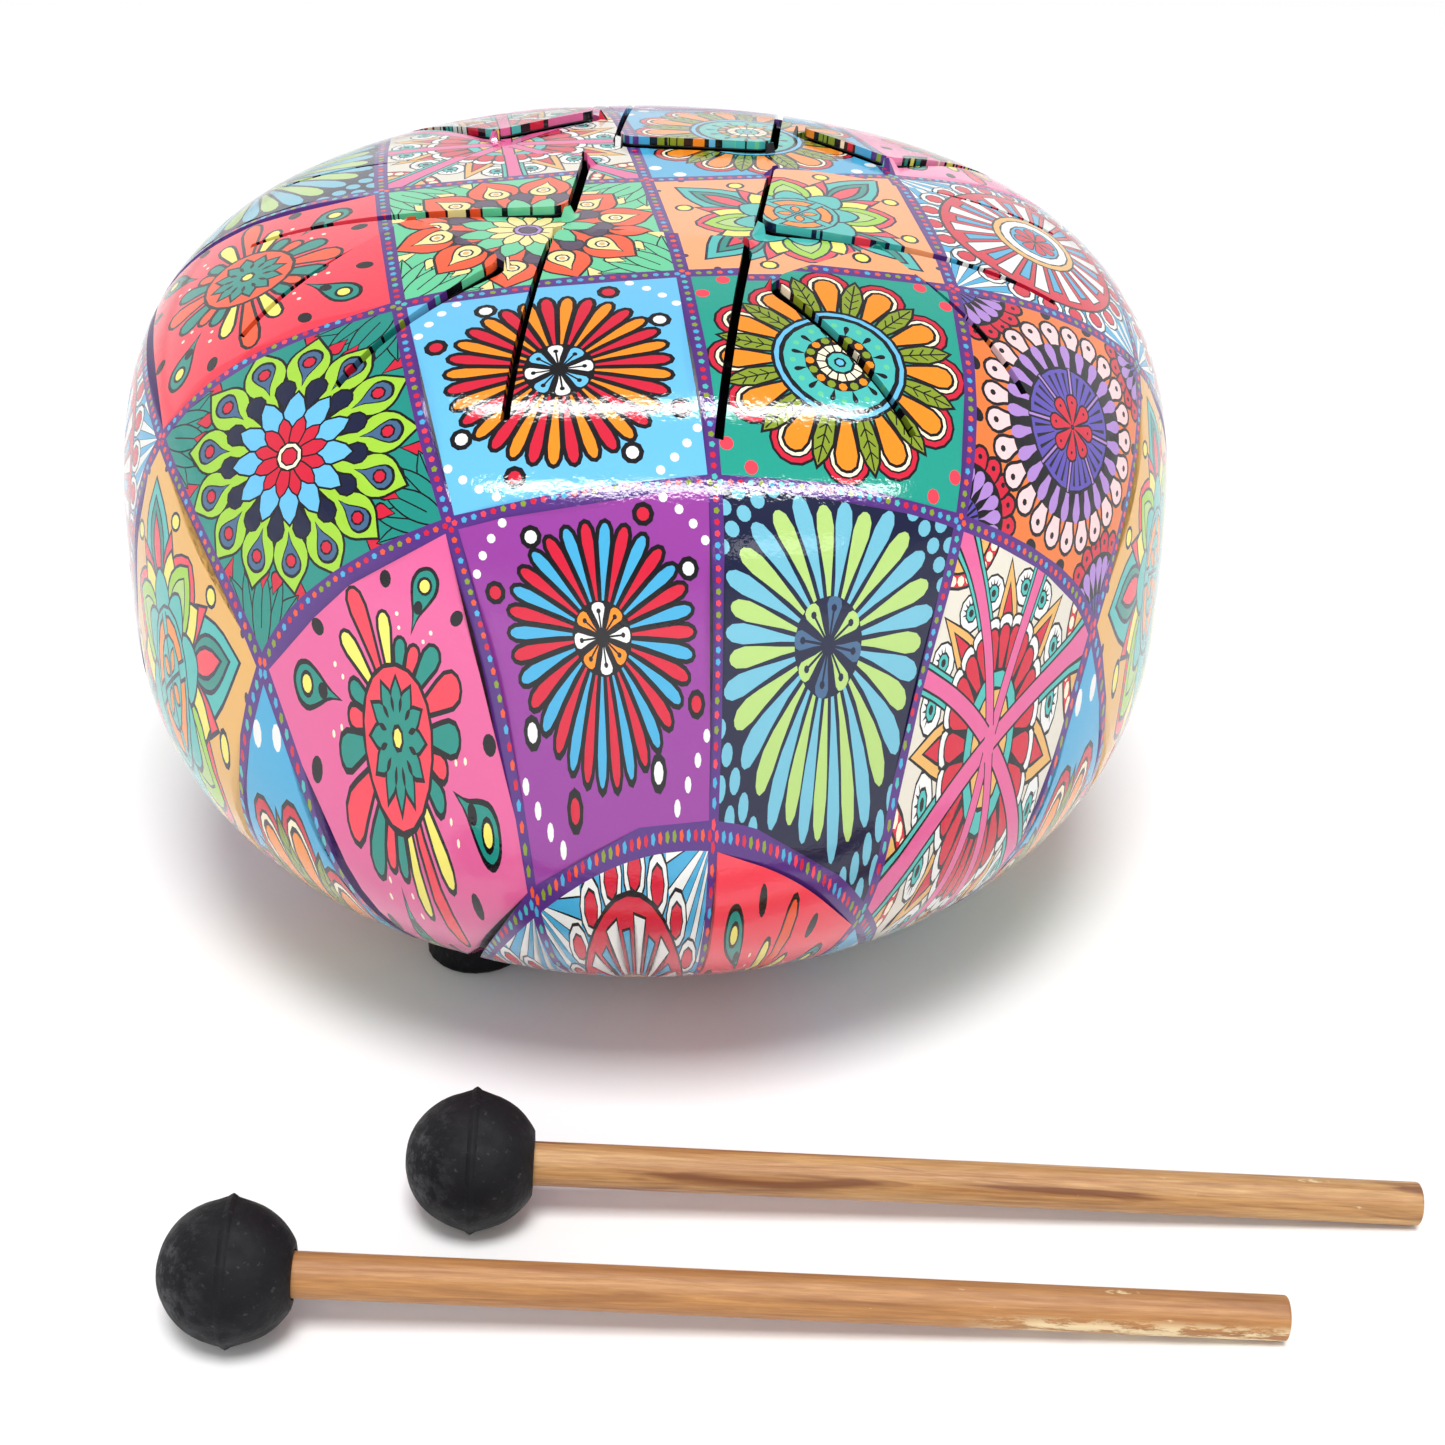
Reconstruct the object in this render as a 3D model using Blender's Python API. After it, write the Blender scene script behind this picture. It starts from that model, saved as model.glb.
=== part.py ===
"""Steel tongue drum on three screwed rubber feet, with a pair of rubber-headed mallets lying in front of it.

Metres, +Z up. The parent empty of the set has the drum's axis at its origin and the floor at z = 0; it is
moved at the end so that the bounding box stands centred on the world's origin. Azimuths are measured from
the front (-Y) towards +X.
"""

import math

import bmesh
import bpy
import numpy as np
from mathutils import Matrix, Vector
from mathutils.geometry import delaunay_2d_cdt

MM = 0.001
GAP = 0.3 * MM  # clearance left between neighbouring pieces

# Drum body
DRUM_RADIUS = 100 * MM
SHEET = 1.8 * MM
EQUATOR_Z = 70.5 * MM
DOME_RISE = 75.6 * MM
DOME_POWERS = (3.694, 3.407)  # flatness of the top, roundness of its shoulder
BOWL_DEPTH = 65.5 * MM
BOWL_POWERS = (2.2, 2.5)
PORT_RADIUS = 22 * MM
WELD_RADIUS = 1.5 * MM

# Tongues: azimuth in degrees, then tip distance, root distance, sideways shift and half width
SLOT = 1.5 * MM
TIP_LIFT = 1.8 * MM
TIP_CORNER = 3.2 * MM
TONGUES = {
    "front": (-6.8, 28.5 * MM, 80.0 * MM, 3.6 * MM, 16.45 * MM),
    "front_right": (39.8, 48.6 * MM, 84.4 * MM, -1.3 * MM, 12.4 * MM),
    "right": (83.2, 22.2 * MM, 74.5 * MM, -5.3 * MM, 15.4 * MM),
    "back_right": (132.9, 45.0 * MM, 78.0 * MM, -6.0 * MM, 12.0 * MM),
    "back": (175.5, 23.5 * MM, 73.0 * MM, -6.6 * MM, 14.4 * MM),
    "back_left": (-142.8, 41.0 * MM, 77.0 * MM, -6.0 * MM, 12.4 * MM),
    "left": (-94.5, 13.5 * MM, 70.5 * MM, 2.5 * MM, 15.1 * MM),
    "front_left": (-48.6, 44.6 * MM, 80.6 * MM, 0.0 * MM, 13.2 * MM),
}

# Feet, each held by a pan-head screw, a washer and a nut
FOOT_AZIMUTHS = {"front": -44.0, "right": 76.0, "back": 196.0}
FOOT_CIRCLE = 45.5 * MM
FOOT_RADIUS = 10 * MM
FOOT_CHAMFER = 0.8 * MM
RECESS_RADIUS = 5.2 * MM
RECESS_ABOVE_FLOOR = 5.4 * MM
SCREW_RADIUS = 2.0 * MM
SCREW_HEAD = (3.9 * MM, 2.2 * MM)  # radius, height
WASHER = (4.6 * MM, 0.8 * MM)
NUT = (3.5 * MM, 3.2 * MM)  # half the width across flats, height

# Mallets: head centre in plan, the handle's heading, and from the head's centre to the handle's end
MALLETS = {
    "near": ((-66.8 * MM, -142.2 * MM), -0.7, 172.8 * MM),
    "far": ((-29.1 * MM, -114.6 * MM), -0.5, 164.2 * MM),
}
HANDLE_RADIUS = 3.85 * MM
HANDLE_CHAMFER = 0.35 * MM
HEAD_RADIUS = 11.75 * MM
HEAD_FACE_RADIUS = 5.6 * MM  # flat where the handle goes in
BORE_DEPTH_PAST_CENTRE = 4.0 * MM
RIDGE_HEIGHT = 0.25 * MM
RIDGE_WIDTH = 1.2 * MM
NUB_HEIGHT = 0.7 * MM
NUB_LEAN = 33.0  # degrees the nubs lean back from straight up

SEGMENTS = 60


def material(name, colour, metallic, roughness):
    mat = bpy.data.materials.new(name)
    mat.use_nodes = True
    shader = mat.node_tree.nodes["Principled BSDF"]
    shader.inputs["Base Color"].default_value = (*colour, 1)
    shader.inputs["Metallic"].default_value = metallic
    shader.inputs["Roughness"].default_value = roughness
    mat.diffuse_color = (*colour, 1)
    return mat


def empty(name, parent, matrix):
    """An axis that pieces are placed on."""
    obj = bpy.data.objects.new(name, None)
    bpy.context.scene.collection.objects.link(obj)
    obj.parent = parent
    obj.matrix_basis = matrix
    return obj


def piece(name, bm, mat, parent):
    """Turn a finished bmesh into a smooth-shaded object under its parent."""
    bmesh.ops.recalc_face_normals(bm, faces=bm.faces)
    mesh = bpy.data.meshes.new(name)
    bm.to_mesh(mesh)
    bm.free()
    mesh.shade_smooth()
    mesh.set_sharp_from_angle(angle=math.radians(35))
    mesh.materials.append(mat)
    obj = bpy.data.objects.new(name, mesh)
    bpy.context.scene.collection.objects.link(obj)
    obj.parent = parent
    return obj


def heading(azimuth):
    """Unit vectors outward along an azimuth and sideways to it, in plan."""
    a = math.radians(azimuth)
    return np.array([math.sin(a), -math.cos(a)]), np.array([math.cos(a), math.sin(a)])


def axes_at(origin, x_hint, z_axis):
    """Matrix of a frame whose Z is the given axis and whose X leans towards the hint."""
    z = Vector(z_axis).normalized()
    x = Vector(x_hint)
    x = (x - x.dot(z) * z).normalized()
    frame = Matrix((x, z.cross(x), z)).transposed().to_4x4()
    frame.translation = origin
    return frame


# ---------------------------------------------------------------- stamped shells


class Curve:
    """Half-section of one shell from pole to equator, looked up by distance along the sheet."""

    def __init__(self, rim_z, rise, powers):
        q = np.linspace(0, 1, 6001)
        u = 1 - (1 - q) ** 4
        self.r = DRUM_RADIUS * u
        self.z = rim_z + rise * (1 - u ** powers[0]) ** (1 / powers[1])
        step = np.hypot(np.diff(self.r), np.diff(self.z))
        self.s = np.concatenate([[0], np.cumsum(step)])
        side = math.copysign(1, rise)
        dr, dz = np.gradient(self.r, self.s), np.gradient(self.z, self.s)
        self.nr, self.nz = -side * dz, side * dr
        self.length = float(self.s[-1])

    def at(self, s):
        return tuple(float(np.interp(s, self.s, a)) for a in (self.r, self.z, self.nr, self.nz))

    def distance(self, r):
        return float(np.interp(r, self.r, self.s))

    def height(self, r):
        return float(np.interp(r, self.r, self.z))


def flatten(curve, point):
    """Plan position to the unrolled sheet: same azimuth, distance along the sheet."""
    r = float(np.hypot(*point))
    return np.asarray(point) * (curve.distance(r) / r if r > 1e-9 else 1.0)


def slot_outline(tongue):
    """Closed plan outline of one U-shaped slot, open towards the rim."""
    azimuth, tip, root, shift, half = tongue
    out, side = heading(azimuth)
    middle = half + SLOT / 2
    bend = TIP_CORNER + SLOT / 2

    def line(offset):
        """Path at this offset outside the slot's centre line, from one root round the tip to the other."""
        width, start, radius = middle + offset, tip - SLOT / 2 - offset, bend + offset
        legs = np.linspace(root, start + radius, 7)[:-1]
        path = [(-width, u) for u in legs]
        for turn in (180, 270):
            centre = -width + radius if turn == 180 else width - radius
            for k in range(6):
                a = math.radians(turn + 18 * k)
                path.append((centre + radius * math.cos(a), start + radius + radius * math.sin(a)))
        return path + [(width, u) for u in legs[::-1]]

    loop = line(SLOT / 2) + line(-SLOT / 2)[::-1]
    return [side * (shift + v) + out * u for v, u in loop]


def tip_lift(point):
    """How far the tongue under a plan position is bent up above the dome."""
    for azimuth, tip, root, shift, half in TONGUES.values():
        out, side = heading(azimuth)
        u, v = float(np.dot(point, out)), float(np.dot(point, side)) - shift
        if abs(v) < half + SLOT / 2 and tip - SLOT / 2 < u < root:
            return TIP_LIFT * ((root - max(u, tip)) / (root - tip)) ** 2
    return 0.0


def inside(point, loop):
    x, y = point
    hit = False
    for (x0, y0), (x1, y1) in zip(loop, loop[1:] + loop[:1]):
        if (y0 > y) != (y1 > y) and x < x0 + (y - y0) / (y1 - y0) * (x1 - x0):
            hit = not hit
    return hit


def sheet_points(curve, rings, holes):
    """Mesh points of the unrolled sheet: the hole outlines, and rings of points that keep clear of them."""
    points = [p for hole in holes for p in hole]
    cut = np.array(points)
    for s, count in rings:
        for k in range(count):
            a = 2 * math.pi * (k + 0.5 * (count < SEGMENTS)) / count
            p = (s * math.sin(a), -s * math.cos(a))
            clear = s > 0.999 * curve.length or np.hypot(*(cut - p).T).min() > 1.8 * MM
            if clear and not any(inside(p, hole) for hole in holes):
                points.append(p)
    return points


def shell(name, curve, rings, loops, lift, mat, parent):
    """Sheet of even thickness on a half-section curve, pierced by closed plan outlines."""
    holes = [[tuple(flatten(curve, p)) for p in loop] for loop in loops]
    edges, first = [], 0
    for hole in holes:
        count = len(hole)
        edges += [(first + k, first + (k + 1) % count) for k in range(count)]
        first += count
    points = [Vector(p) for p in sheet_points(curve, rings, holes)]
    flat, _, triangles, *_ = delaunay_2d_cdt(points, edges, [], 0, 1e-7)

    bm = bmesh.new()
    outer, inner = [], []
    for p in flat:
        s = p.length
        r, z, nr, nz = curve.at(s)
        away = p / s if s > 1e-9 else Vector((0, 0))
        z += lift(r * away)
        outer.append(bm.verts.new((*(r * away), z)))
        inner.append(bm.verts.new((*((r - SHEET * nr) * away), z - SHEET * nz)))
    for tri in triangles:
        centre = sum((flat[i] for i in tri), Vector((0, 0))) / 3
        if not any(inside(centre, hole) for hole in holes):
            bm.faces.new([outer[i] for i in tri])
            bm.faces.new([inner[i] for i in reversed(tri)])
    below = dict(zip(outer, inner))
    for edge in [e for e in bm.edges if e.is_boundary and e.verts[0] in below]:
        p, q = edge.verts
        bm.faces.new((p, q, below[q], below[p]))
    return piece(name, bm, mat, parent)


def dome_rings(curve):
    """Rings of mesh points: closer together over the shoulder, fewer round the pole."""
    inner = [(0.15, 12), (0.30, 20), (0.44, 30), (0.56, 30)]
    shoulder = [0.66, 0.75, 0.83, 0.90, 0.96, 1.02, 1.09, 1.18, 1.30, 1.45]
    rings = [(k * DRUM_RADIUS, n) for k, n in inner] + [(k * DRUM_RADIUS, SEGMENTS) for k in shoulder]
    return [(0.0, 1)] + rings + [(curve.length, SEGMENTS)]


def bowl_rings(curve):
    spots = [0.42, 0.60, 0.74, 0.86, 0.96, 1.05, 1.13]
    rings = [(k * DRUM_RADIUS, 30 if k < 0.5 else SEGMENTS) for k in spots]
    return rings + [(curve.length, SEGMENTS)]


def circle(centre, radius, count):
    angles = [2 * math.pi * k / count for k in range(count)]
    return [np.array([centre[0] + radius * math.cos(a), centre[1] + radius * math.sin(a)]) for a in angles]


# ---------------------------------------------------------------- turned pieces


def turned(name, section, count, mat, parent, reshape=None):
    """Spin (radius, height) points round Z; a section that leaves the axis alone is closed on itself."""
    bm = bmesh.new()
    verts = [bm.verts.new((radius, 0, height)) for radius, height in section]
    joins = list(zip(verts, verts[1:]))
    if section[0][0] > 0:
        joins.append((verts[-1], verts[0]))
    edges = [bm.edges.new(pair) for pair in joins]
    bmesh.ops.spin(bm, geom=verts + edges, cent=(0, 0, 0), axis=(0, 0, 1), angle=2 * math.pi, steps=count)
    bmesh.ops.remove_doubles(bm, verts=bm.verts, dist=0.001 * MM)
    if reshape:
        for vert in bm.verts:
            vert.co = reshape(vert.co)
    return piece(name, bm, mat, parent)


def build_weld(steel, drum):
    """Bead that runs round inside the line where the two shells meet."""
    wall, bead = DRUM_RADIUS - SHEET - GAP, WELD_RADIUS
    steps = [(1.0, -0.5), (0.5, -1.0), (0.0, -1.0), (0.0, 1.0), (0.5, 1.0), (1.0, 0.5)]
    section = [(wall - bead * inward, EQUATOR_Z + bead * up) for inward, up in steps]
    return turned("seam_weld", section, SEGMENTS, steel, drum)


# ---------------------------------------------------------------- feet


def foot_axis(label, curve, azimuth, drum):
    """Empty on the bowl's outside over a foot, with its Z along the screw, into the drum."""
    out, side = heading(azimuth)
    r, z, nr, nz = curve.at(curve.distance(FOOT_CIRCLE))
    matrix = axes_at((*(out * r), z), (*side, 0), (*(-out * nr), -nz))
    return empty(f"foot_axis_{label}", drum, matrix)


def build_rubber_foot(label, axis, curve, seat, rubber):
    """Rubber foot with a recess for its screw, moulded to the bowl above and cut flat below."""
    matrix = axis.matrix_basis
    screw = matrix.to_3x3().col[2]
    drop = matrix.translation.z / screw.z  # from the bowl down to the floor, along the screw

    def fit(co):
        p = matrix @ co
        if co.z > -0.5 * MM:
            for _ in range(30):
                ceiling = curve.height(math.hypot(p.x, p.y)) - GAP / screw.z
                p += screw * 0.7 * (ceiling - p.z)
        elif co.z < seat - 0.5 * MM:
            p += screw * (co.z + drop - p.z) / screw.z
        return matrix.inverted() @ p

    bore = SCREW_RADIUS + GAP
    section = [
        (FOOT_RADIUS, 0.0),
        (FOOT_RADIUS, FOOT_CHAMFER - drop),
        (FOOT_RADIUS - FOOT_CHAMFER, -drop),
        (RECESS_RADIUS, -drop),
        (RECESS_RADIUS, seat),
        (bore, seat),
        (bore, 0.0),
    ]
    return turned(f"foot_{label}", section, 24, rubber, axis, fit)


def build_fasteners(label, axis, seat, zinc):
    """Pan-head screw and washer up through the foot, and the nut inside the bowl."""
    bore = SCREW_RADIUS + GAP
    radius, thick = WASHER
    low = seat - GAP - thick
    ring = [(bore, low), (radius, low), (radius, low + thick), (bore, low + thick)]
    turned(f"foot_washer_{label}", ring, 20, zinc, axis)

    rim, tall = SCREW_HEAD
    top = low - GAP
    end = SHEET + 2 * GAP + NUT[1] + 1.5 * MM
    shank = [
        (0.0, top - tall),
        (0.72 * rim, top - tall),
        (rim, top - 0.55 * tall),
        (rim, top),
        (SCREW_RADIUS, top),
        (SCREW_RADIUS, end - 0.5 * MM),
        (0.75 * SCREW_RADIUS, end),
        (0.0, end),
    ]
    turned(f"foot_screw_{label}", shank, 16, zinc, axis)

    half, height = NUT
    base = SHEET + GAP
    square = [(bore, base), (half, base), (half, base + height), (bore, base + height)]

    def hexagon(co):
        if co.xy.length < half - 0.1 * MM:
            return co
        turn = (math.atan2(co.y, co.x) + math.pi / 6) % (math.pi / 3) - math.pi / 6
        grow = 1 / math.cos(turn)
        return Vector((co.x * grow, co.y * grow, co.z))

    turned(f"foot_nut_{label}", square, 12, zinc, axis, hexagon)


# ---------------------------------------------------------------- mallets


def ball_section():
    """Half-section of the moulded head: blind bore, flat face, ball and its mould ridge."""
    bore, deep = HANDLE_RADIUS + GAP, -BORE_DEPTH_PAST_CENTRE
    face = math.sqrt(HEAD_RADIUS**2 - HEAD_FACE_RADIUS**2)

    def arc(start, stop, count):
        angles = np.radians(np.linspace(start, stop, count))
        return [(HEAD_RADIUS * math.sin(t), HEAD_RADIUS * math.cos(t)) for t in angles]

    half, proud = RIDGE_WIDTH / 2, HEAD_RADIUS + RIDGE_HEIGHT
    ridge = [(HEAD_RADIUS, half), (proud, half / 2), (proud, -half / 2), (HEAD_RADIUS, -half)]
    opening = [(0.0, deep), (bore, deep), (bore, face), (HEAD_FACE_RADIUS, face)]
    return opening + arc(39, 84, 5) + ridge + arc(96, 168, 7) + [(0.0, -HEAD_RADIUS)]


def raise_nubs(co):
    """Two small points where the mould was filled, opposite each other on the ridge."""
    if co.xy.length < HEAD_RADIUS + 0.5 * RIDGE_HEIGHT:
        return co
    away = abs(math.asin(max(-1.0, min(1.0, co.y / co.xy.length))))
    grow = 1 + NUB_HEIGHT * max(0.0, 1 - away / 0.3) / co.xy.length
    return Vector((co.x * grow, co.y * grow, co.z))


def build_mallet(label, place, azimuth, reach, wood, rubber, parent):
    """Round handle pushed into a moulded ball, lying on the floor on its ball and its far end."""
    rest = HEAD_RADIUS + RIDGE_HEIGHT
    droop = math.asin((rest - HANDLE_RADIUS) / reach)
    lean, a = math.radians(NUB_LEAN), math.radians(azimuth)
    along = (math.cos(a) * math.cos(droop), math.sin(a) * math.cos(droop), -math.sin(droop))
    nub = (0.0, math.sin(lean), math.cos(lean))
    axis = empty(f"{label}_mallet", parent, axes_at((*place, rest), nub, along))

    start, c = -BORE_DEPTH_PAST_CENTRE + GAP, HANDLE_CHAMFER
    stick = [
        (0.0, start),
        (HANDLE_RADIUS - c, start),
        (HANDLE_RADIUS, start + c),
        (HANDLE_RADIUS, reach - c),
        (HANDLE_RADIUS - c, reach),
        (0.0, reach),
    ]
    turned(f"mallet_{label}_head", ball_section(), 28, rubber, axis, raise_nubs)
    turned(f"mallet_{label}_handle", stick, 24, wood, axis)
    axis.location.z -= lowest_and_highest([axis])[0].z


# ---------------------------------------------------------------- the set


def lowest_and_highest(tops):
    """Corners of the bounding box of every mesh under these empties."""
    bpy.context.view_layer.update()
    pieces = [o for top in tops for o in top.children_recursive if o.type == "MESH"]
    spots = [o.matrix_world @ v.co for o in pieces for v in o.data.vertices]
    return [Vector([pick(p[k] for p in spots) for k in range(3)]) for pick in (min, max)]


def build_drum(parent):
    printed = material("printed_steel", (0.16, 0.40, 0.50), 0.0, 0.25)
    steel = material("bare_steel", (0.55, 0.55, 0.57), 1.0, 0.4)
    zinc = material("zinc_plate", (0.70, 0.70, 0.72), 1.0, 0.3)
    rubber = material("foot_rubber", (0.02, 0.02, 0.022), 0.0, 0.75)

    drum = empty("drum", parent, Matrix())
    dome = Curve(EQUATOR_Z + GAP / 2, DOME_RISE, DOME_POWERS)
    bowl = Curve(EQUATOR_Z - GAP / 2, -BOWL_DEPTH, BOWL_POWERS)
    slots = [slot_outline(tongue) for tongue in TONGUES.values()]
    shell("upper_shell", dome, dome_rings(dome), slots, tip_lift, printed, drum)
    holes = [circle((0, 0), PORT_RADIUS, 30)]
    for azimuth in FOOT_AZIMUTHS.values():
        holes.append(circle(heading(azimuth)[0] * FOOT_CIRCLE, SCREW_RADIUS + 3 * GAP, 12))
    shell("lower_shell", bowl, bowl_rings(bowl), holes, lambda p: 0.0, printed, drum)
    build_weld(steel, drum)
    for label, azimuth in FOOT_AZIMUTHS.items():
        axis = foot_axis(label, bowl, azimuth, drum)
        matrix = axis.matrix_basis
        seat = (RECESS_ABOVE_FLOOR - matrix.translation.z) / matrix.to_3x3().col[2].z
        build_rubber_foot(label, axis, bowl, seat, rubber)
        build_fasteners(label, axis, seat, zinc)


def main():
    for obj in list(bpy.data.objects):
        bpy.data.objects.remove(obj)
    whole = empty("tongue_drum_set", None, Matrix())
    build_drum(whole)
    wood = material("lacquered_wood", (0.62, 0.36, 0.17), 0.0, 0.4)
    rubber = material("mallet_rubber", (0.02, 0.02, 0.022), 0.0, 0.8)
    for label, (place, azimuth, reach) in MALLETS.items():
        build_mallet(label, place, azimuth, reach, wood, rubber, whole)
    low, high = lowest_and_highest([whole])
    whole.location = (-(low.x + high.x) / 2, -(low.y + high.y) / 2, -low.z)


main()
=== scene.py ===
"""Looks for the steel tongue drum and its two mallets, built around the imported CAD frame.

The drum's skins are cut out of one flat patchwork of printed squares, which is wrapped round the drum the way
the real film is dipped: square grid lines run over the dome and stretch down the sides. Lengths are metres
unless a comment says otherwise; a printed square is one unit wide in its own flat plane.
"""

import cmath
import math

import bmesh
import bpy
import numpy as np
from mathutils import Matrix, Vector, noise
from mathutils.bvhtree import BVHTree
from mathutils.geometry import delaunay_2d_cdt
from mathutils.kdtree import KDTree


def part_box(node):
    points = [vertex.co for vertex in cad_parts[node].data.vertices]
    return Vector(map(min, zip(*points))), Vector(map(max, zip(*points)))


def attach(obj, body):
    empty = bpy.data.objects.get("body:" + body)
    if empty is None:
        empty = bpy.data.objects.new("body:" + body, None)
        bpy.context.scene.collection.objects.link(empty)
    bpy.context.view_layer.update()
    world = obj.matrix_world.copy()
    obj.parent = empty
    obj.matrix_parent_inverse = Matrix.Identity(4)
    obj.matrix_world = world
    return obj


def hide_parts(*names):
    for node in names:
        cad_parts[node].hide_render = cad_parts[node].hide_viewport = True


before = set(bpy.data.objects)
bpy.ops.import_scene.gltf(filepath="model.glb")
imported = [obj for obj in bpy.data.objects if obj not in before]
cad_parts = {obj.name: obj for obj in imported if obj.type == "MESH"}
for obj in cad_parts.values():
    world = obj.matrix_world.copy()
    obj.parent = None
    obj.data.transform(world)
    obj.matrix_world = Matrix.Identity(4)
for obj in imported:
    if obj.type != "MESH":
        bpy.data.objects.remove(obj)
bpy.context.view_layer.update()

MM = 0.001
TAU = 2 * math.pi

# ---------------------------------------------------------------- dimensions, the same as in the CAD

low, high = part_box("upper_shell")
AXIS = np.array([(low.x + high.x) / 2, (low.y + high.y) / 2])
DRUM_RADIUS = (high.x - low.x) / 2
SHEET = 1.8 * MM
EQUATOR_Z = 70.5 * MM
DOME_RISE = 75.6 * MM
DOME_POWERS = (3.694, 3.407)
BOWL_DEPTH = 65.5 * MM
BOWL_POWERS = (2.2, 2.5)
PORT_RADIUS = 22 * MM

SLOPE_STEP = 0.05 * MM  # for measuring slopes

SLOT = 1.5 * MM
TIP_LIFT = 1.8 * MM
TIP_CORNER = 3.2 * MM
TONGUES = (  # azimuth in degrees from the front, then tip, root, sideways shift and half width in millimetres
    (-6.8, 28.5, 80.0, 3.6, 16.45),
    (39.8, 48.6, 84.4, -1.3, 12.4),
    (83.2, 22.2, 74.5, -5.3, 15.4),
    (132.9, 45.0, 78.0, -6.0, 12.0),
    (175.5, 23.5, 73.0, -6.6, 14.4),
    (-142.8, 41.0, 77.0, -6.0, 12.4),
    (-94.5, 13.5, 70.5, 2.5, 15.1),
    (-48.6, 44.6, 80.6, 0.0, 13.2),
)
TONGUES = [(azimuth, *(size * MM for size in sizes)) for azimuth, *sizes in TONGUES]
FOOT_AZIMUTHS = (-44.0, 76.0, 196.0)
FOOT_CIRCLE = 45.5 * MM
SCREW_HOLE = 2.3 * MM

# ---------------------------------------------------------------- the drum's surface


class Profile:
    """Half-section of the drum from the dome's middle to the bowl's middle, by distance along it."""

    STEPS = 4000  # between the dome's middle and the equator, and from there to the bowl's middle

    def __init__(self):
        u = 1 - (1 - np.linspace(0, 1, self.STEPS + 1)) ** 4
        dome = EQUATOR_Z + DOME_RISE * (1 - u ** DOME_POWERS[0]) ** (1 / DOME_POWERS[1])
        bowl = EQUATOR_Z - BOWL_DEPTH * (1 - u ** BOWL_POWERS[0]) ** (1 / BOWL_POWERS[1])
        self.r = DRUM_RADIUS * np.concatenate([u, u[-2::-1]])
        self.z = np.concatenate([dome, bowl[-2::-1]])
        self.s = np.concatenate([[0], np.cumsum(np.hypot(np.diff(self.r), np.diff(self.z)))])
        dr, dz = np.gradient(self.r, self.s), np.gradient(self.z, self.s)
        size = np.hypot(dr, dz)
        self.nr, self.nz = -dz / size, dr / size
        self.equator = self.s[self.STEPS]

    def at(self, arc):
        """Radius, height and outward normal at distances along the profile."""
        return tuple(np.interp(arc, self.s, a) for a in (self.r, self.z, self.nr, self.nz))

    def arc(self, r, on_dome=True):
        if on_dome:
            return np.interp(r, self.r[: self.STEPS + 1], self.s[: self.STEPS + 1])
        return np.interp(-r, -self.r[self.STEPS :], self.s[self.STEPS :])


PROFILE = Profile()
PORT_ARC = float(PROFILE.arc(PORT_RADIUS, on_dome=False))


def heading(azimuth):
    """Unit vectors outward along an azimuth in degrees, from the front towards +X, and sideways to it."""
    a = math.radians(azimuth)
    return np.array([math.sin(a), -math.cos(a)]), np.array([math.cos(a), math.sin(a)])


def tip_lift(x, y, arc):
    """How far the tongues under these plan positions are bent up above the dome."""
    lift = np.zeros_like(x)
    for azimuth, tip, root, shift, half in TONGUES:
        out, side = heading(azimuth)
        u, v = x * out[0] + y * out[1], x * side[0] + y * side[1] - shift
        on = (abs(v) < half + SLOT / 2) & (u > tip - SLOT / 2) & (u < root) & (arc < PROFILE.equator)
        bend = TIP_LIFT * ((root - np.maximum(u, tip)) / (root - tip)) ** 2
        lift = np.where(on, bend, lift)
    return lift


def surface(arc, azimuth, depth=0.0):
    """Points at distances along the profile and azimuths in radians, this deep in the sheet."""
    r, z, nr, nz = PROFILE.at(arc)
    east, south = np.sin(azimuth), np.cos(azimuth)
    z = z + tip_lift(r * east, -r * south, arc)
    r, z = r - depth * nr, z - depth * nz
    return np.stack([AXIS[0] + r * east, AXIS[1] - r * south, z], -1)


def surface_normals(arc, azimuth):
    """Outward unit normals there, the bend of the tongues included."""
    r, z, nr, nz = PROFILE.at(arc)
    east, south = np.sin(azimuth), np.cos(azimuth)
    x, y, step = r * east, -r * south, SLOPE_STEP
    base = tip_lift(x, y, arc)
    slope_x = (tip_lift(x + step, y, arc) - base) / step
    slope_y = (tip_lift(x, y + step, arc) - base) / step
    normal = np.stack([nr * east - nz * slope_x, -nr * south - nz * slope_y, nz], -1)
    return normal / np.linalg.norm(normal, axis=1)[:, None]


# ---------------------------------------------------------------- how the flat film lies on the drum

FILM_TURN = 0.133  # how far the grid is turned round the drum's axis, in radians
FILM_CENTRE = (0.005, 0.071)  # the dome's middle from a grid corner, in squares to the right and to the front
FILM_SPACING = 0.48  # a square on the dome, in drum radii
FILM_RUNAWAY = (2.835, 0.12, 1.035)  # how many squares out the film starts to run, how softly, how much
FILM_PULL = ((-0.009, -0.126), (0.005, 0.096))  # uneven stretch once and twice round the drum
FILM_SWIRL = ((-0.058, 0.248), (0.038, -0.180))  # uneven turn once and twice round the drum


def film_stretch(rho):
    """Drum radii along the sheet for squares from the middle, before the uneven part."""
    start, softness, slope = FILM_RUNAWAY
    return FILM_SPACING * rho + slope * softness * np.logaddexp(0, (rho - start) / softness)


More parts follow.
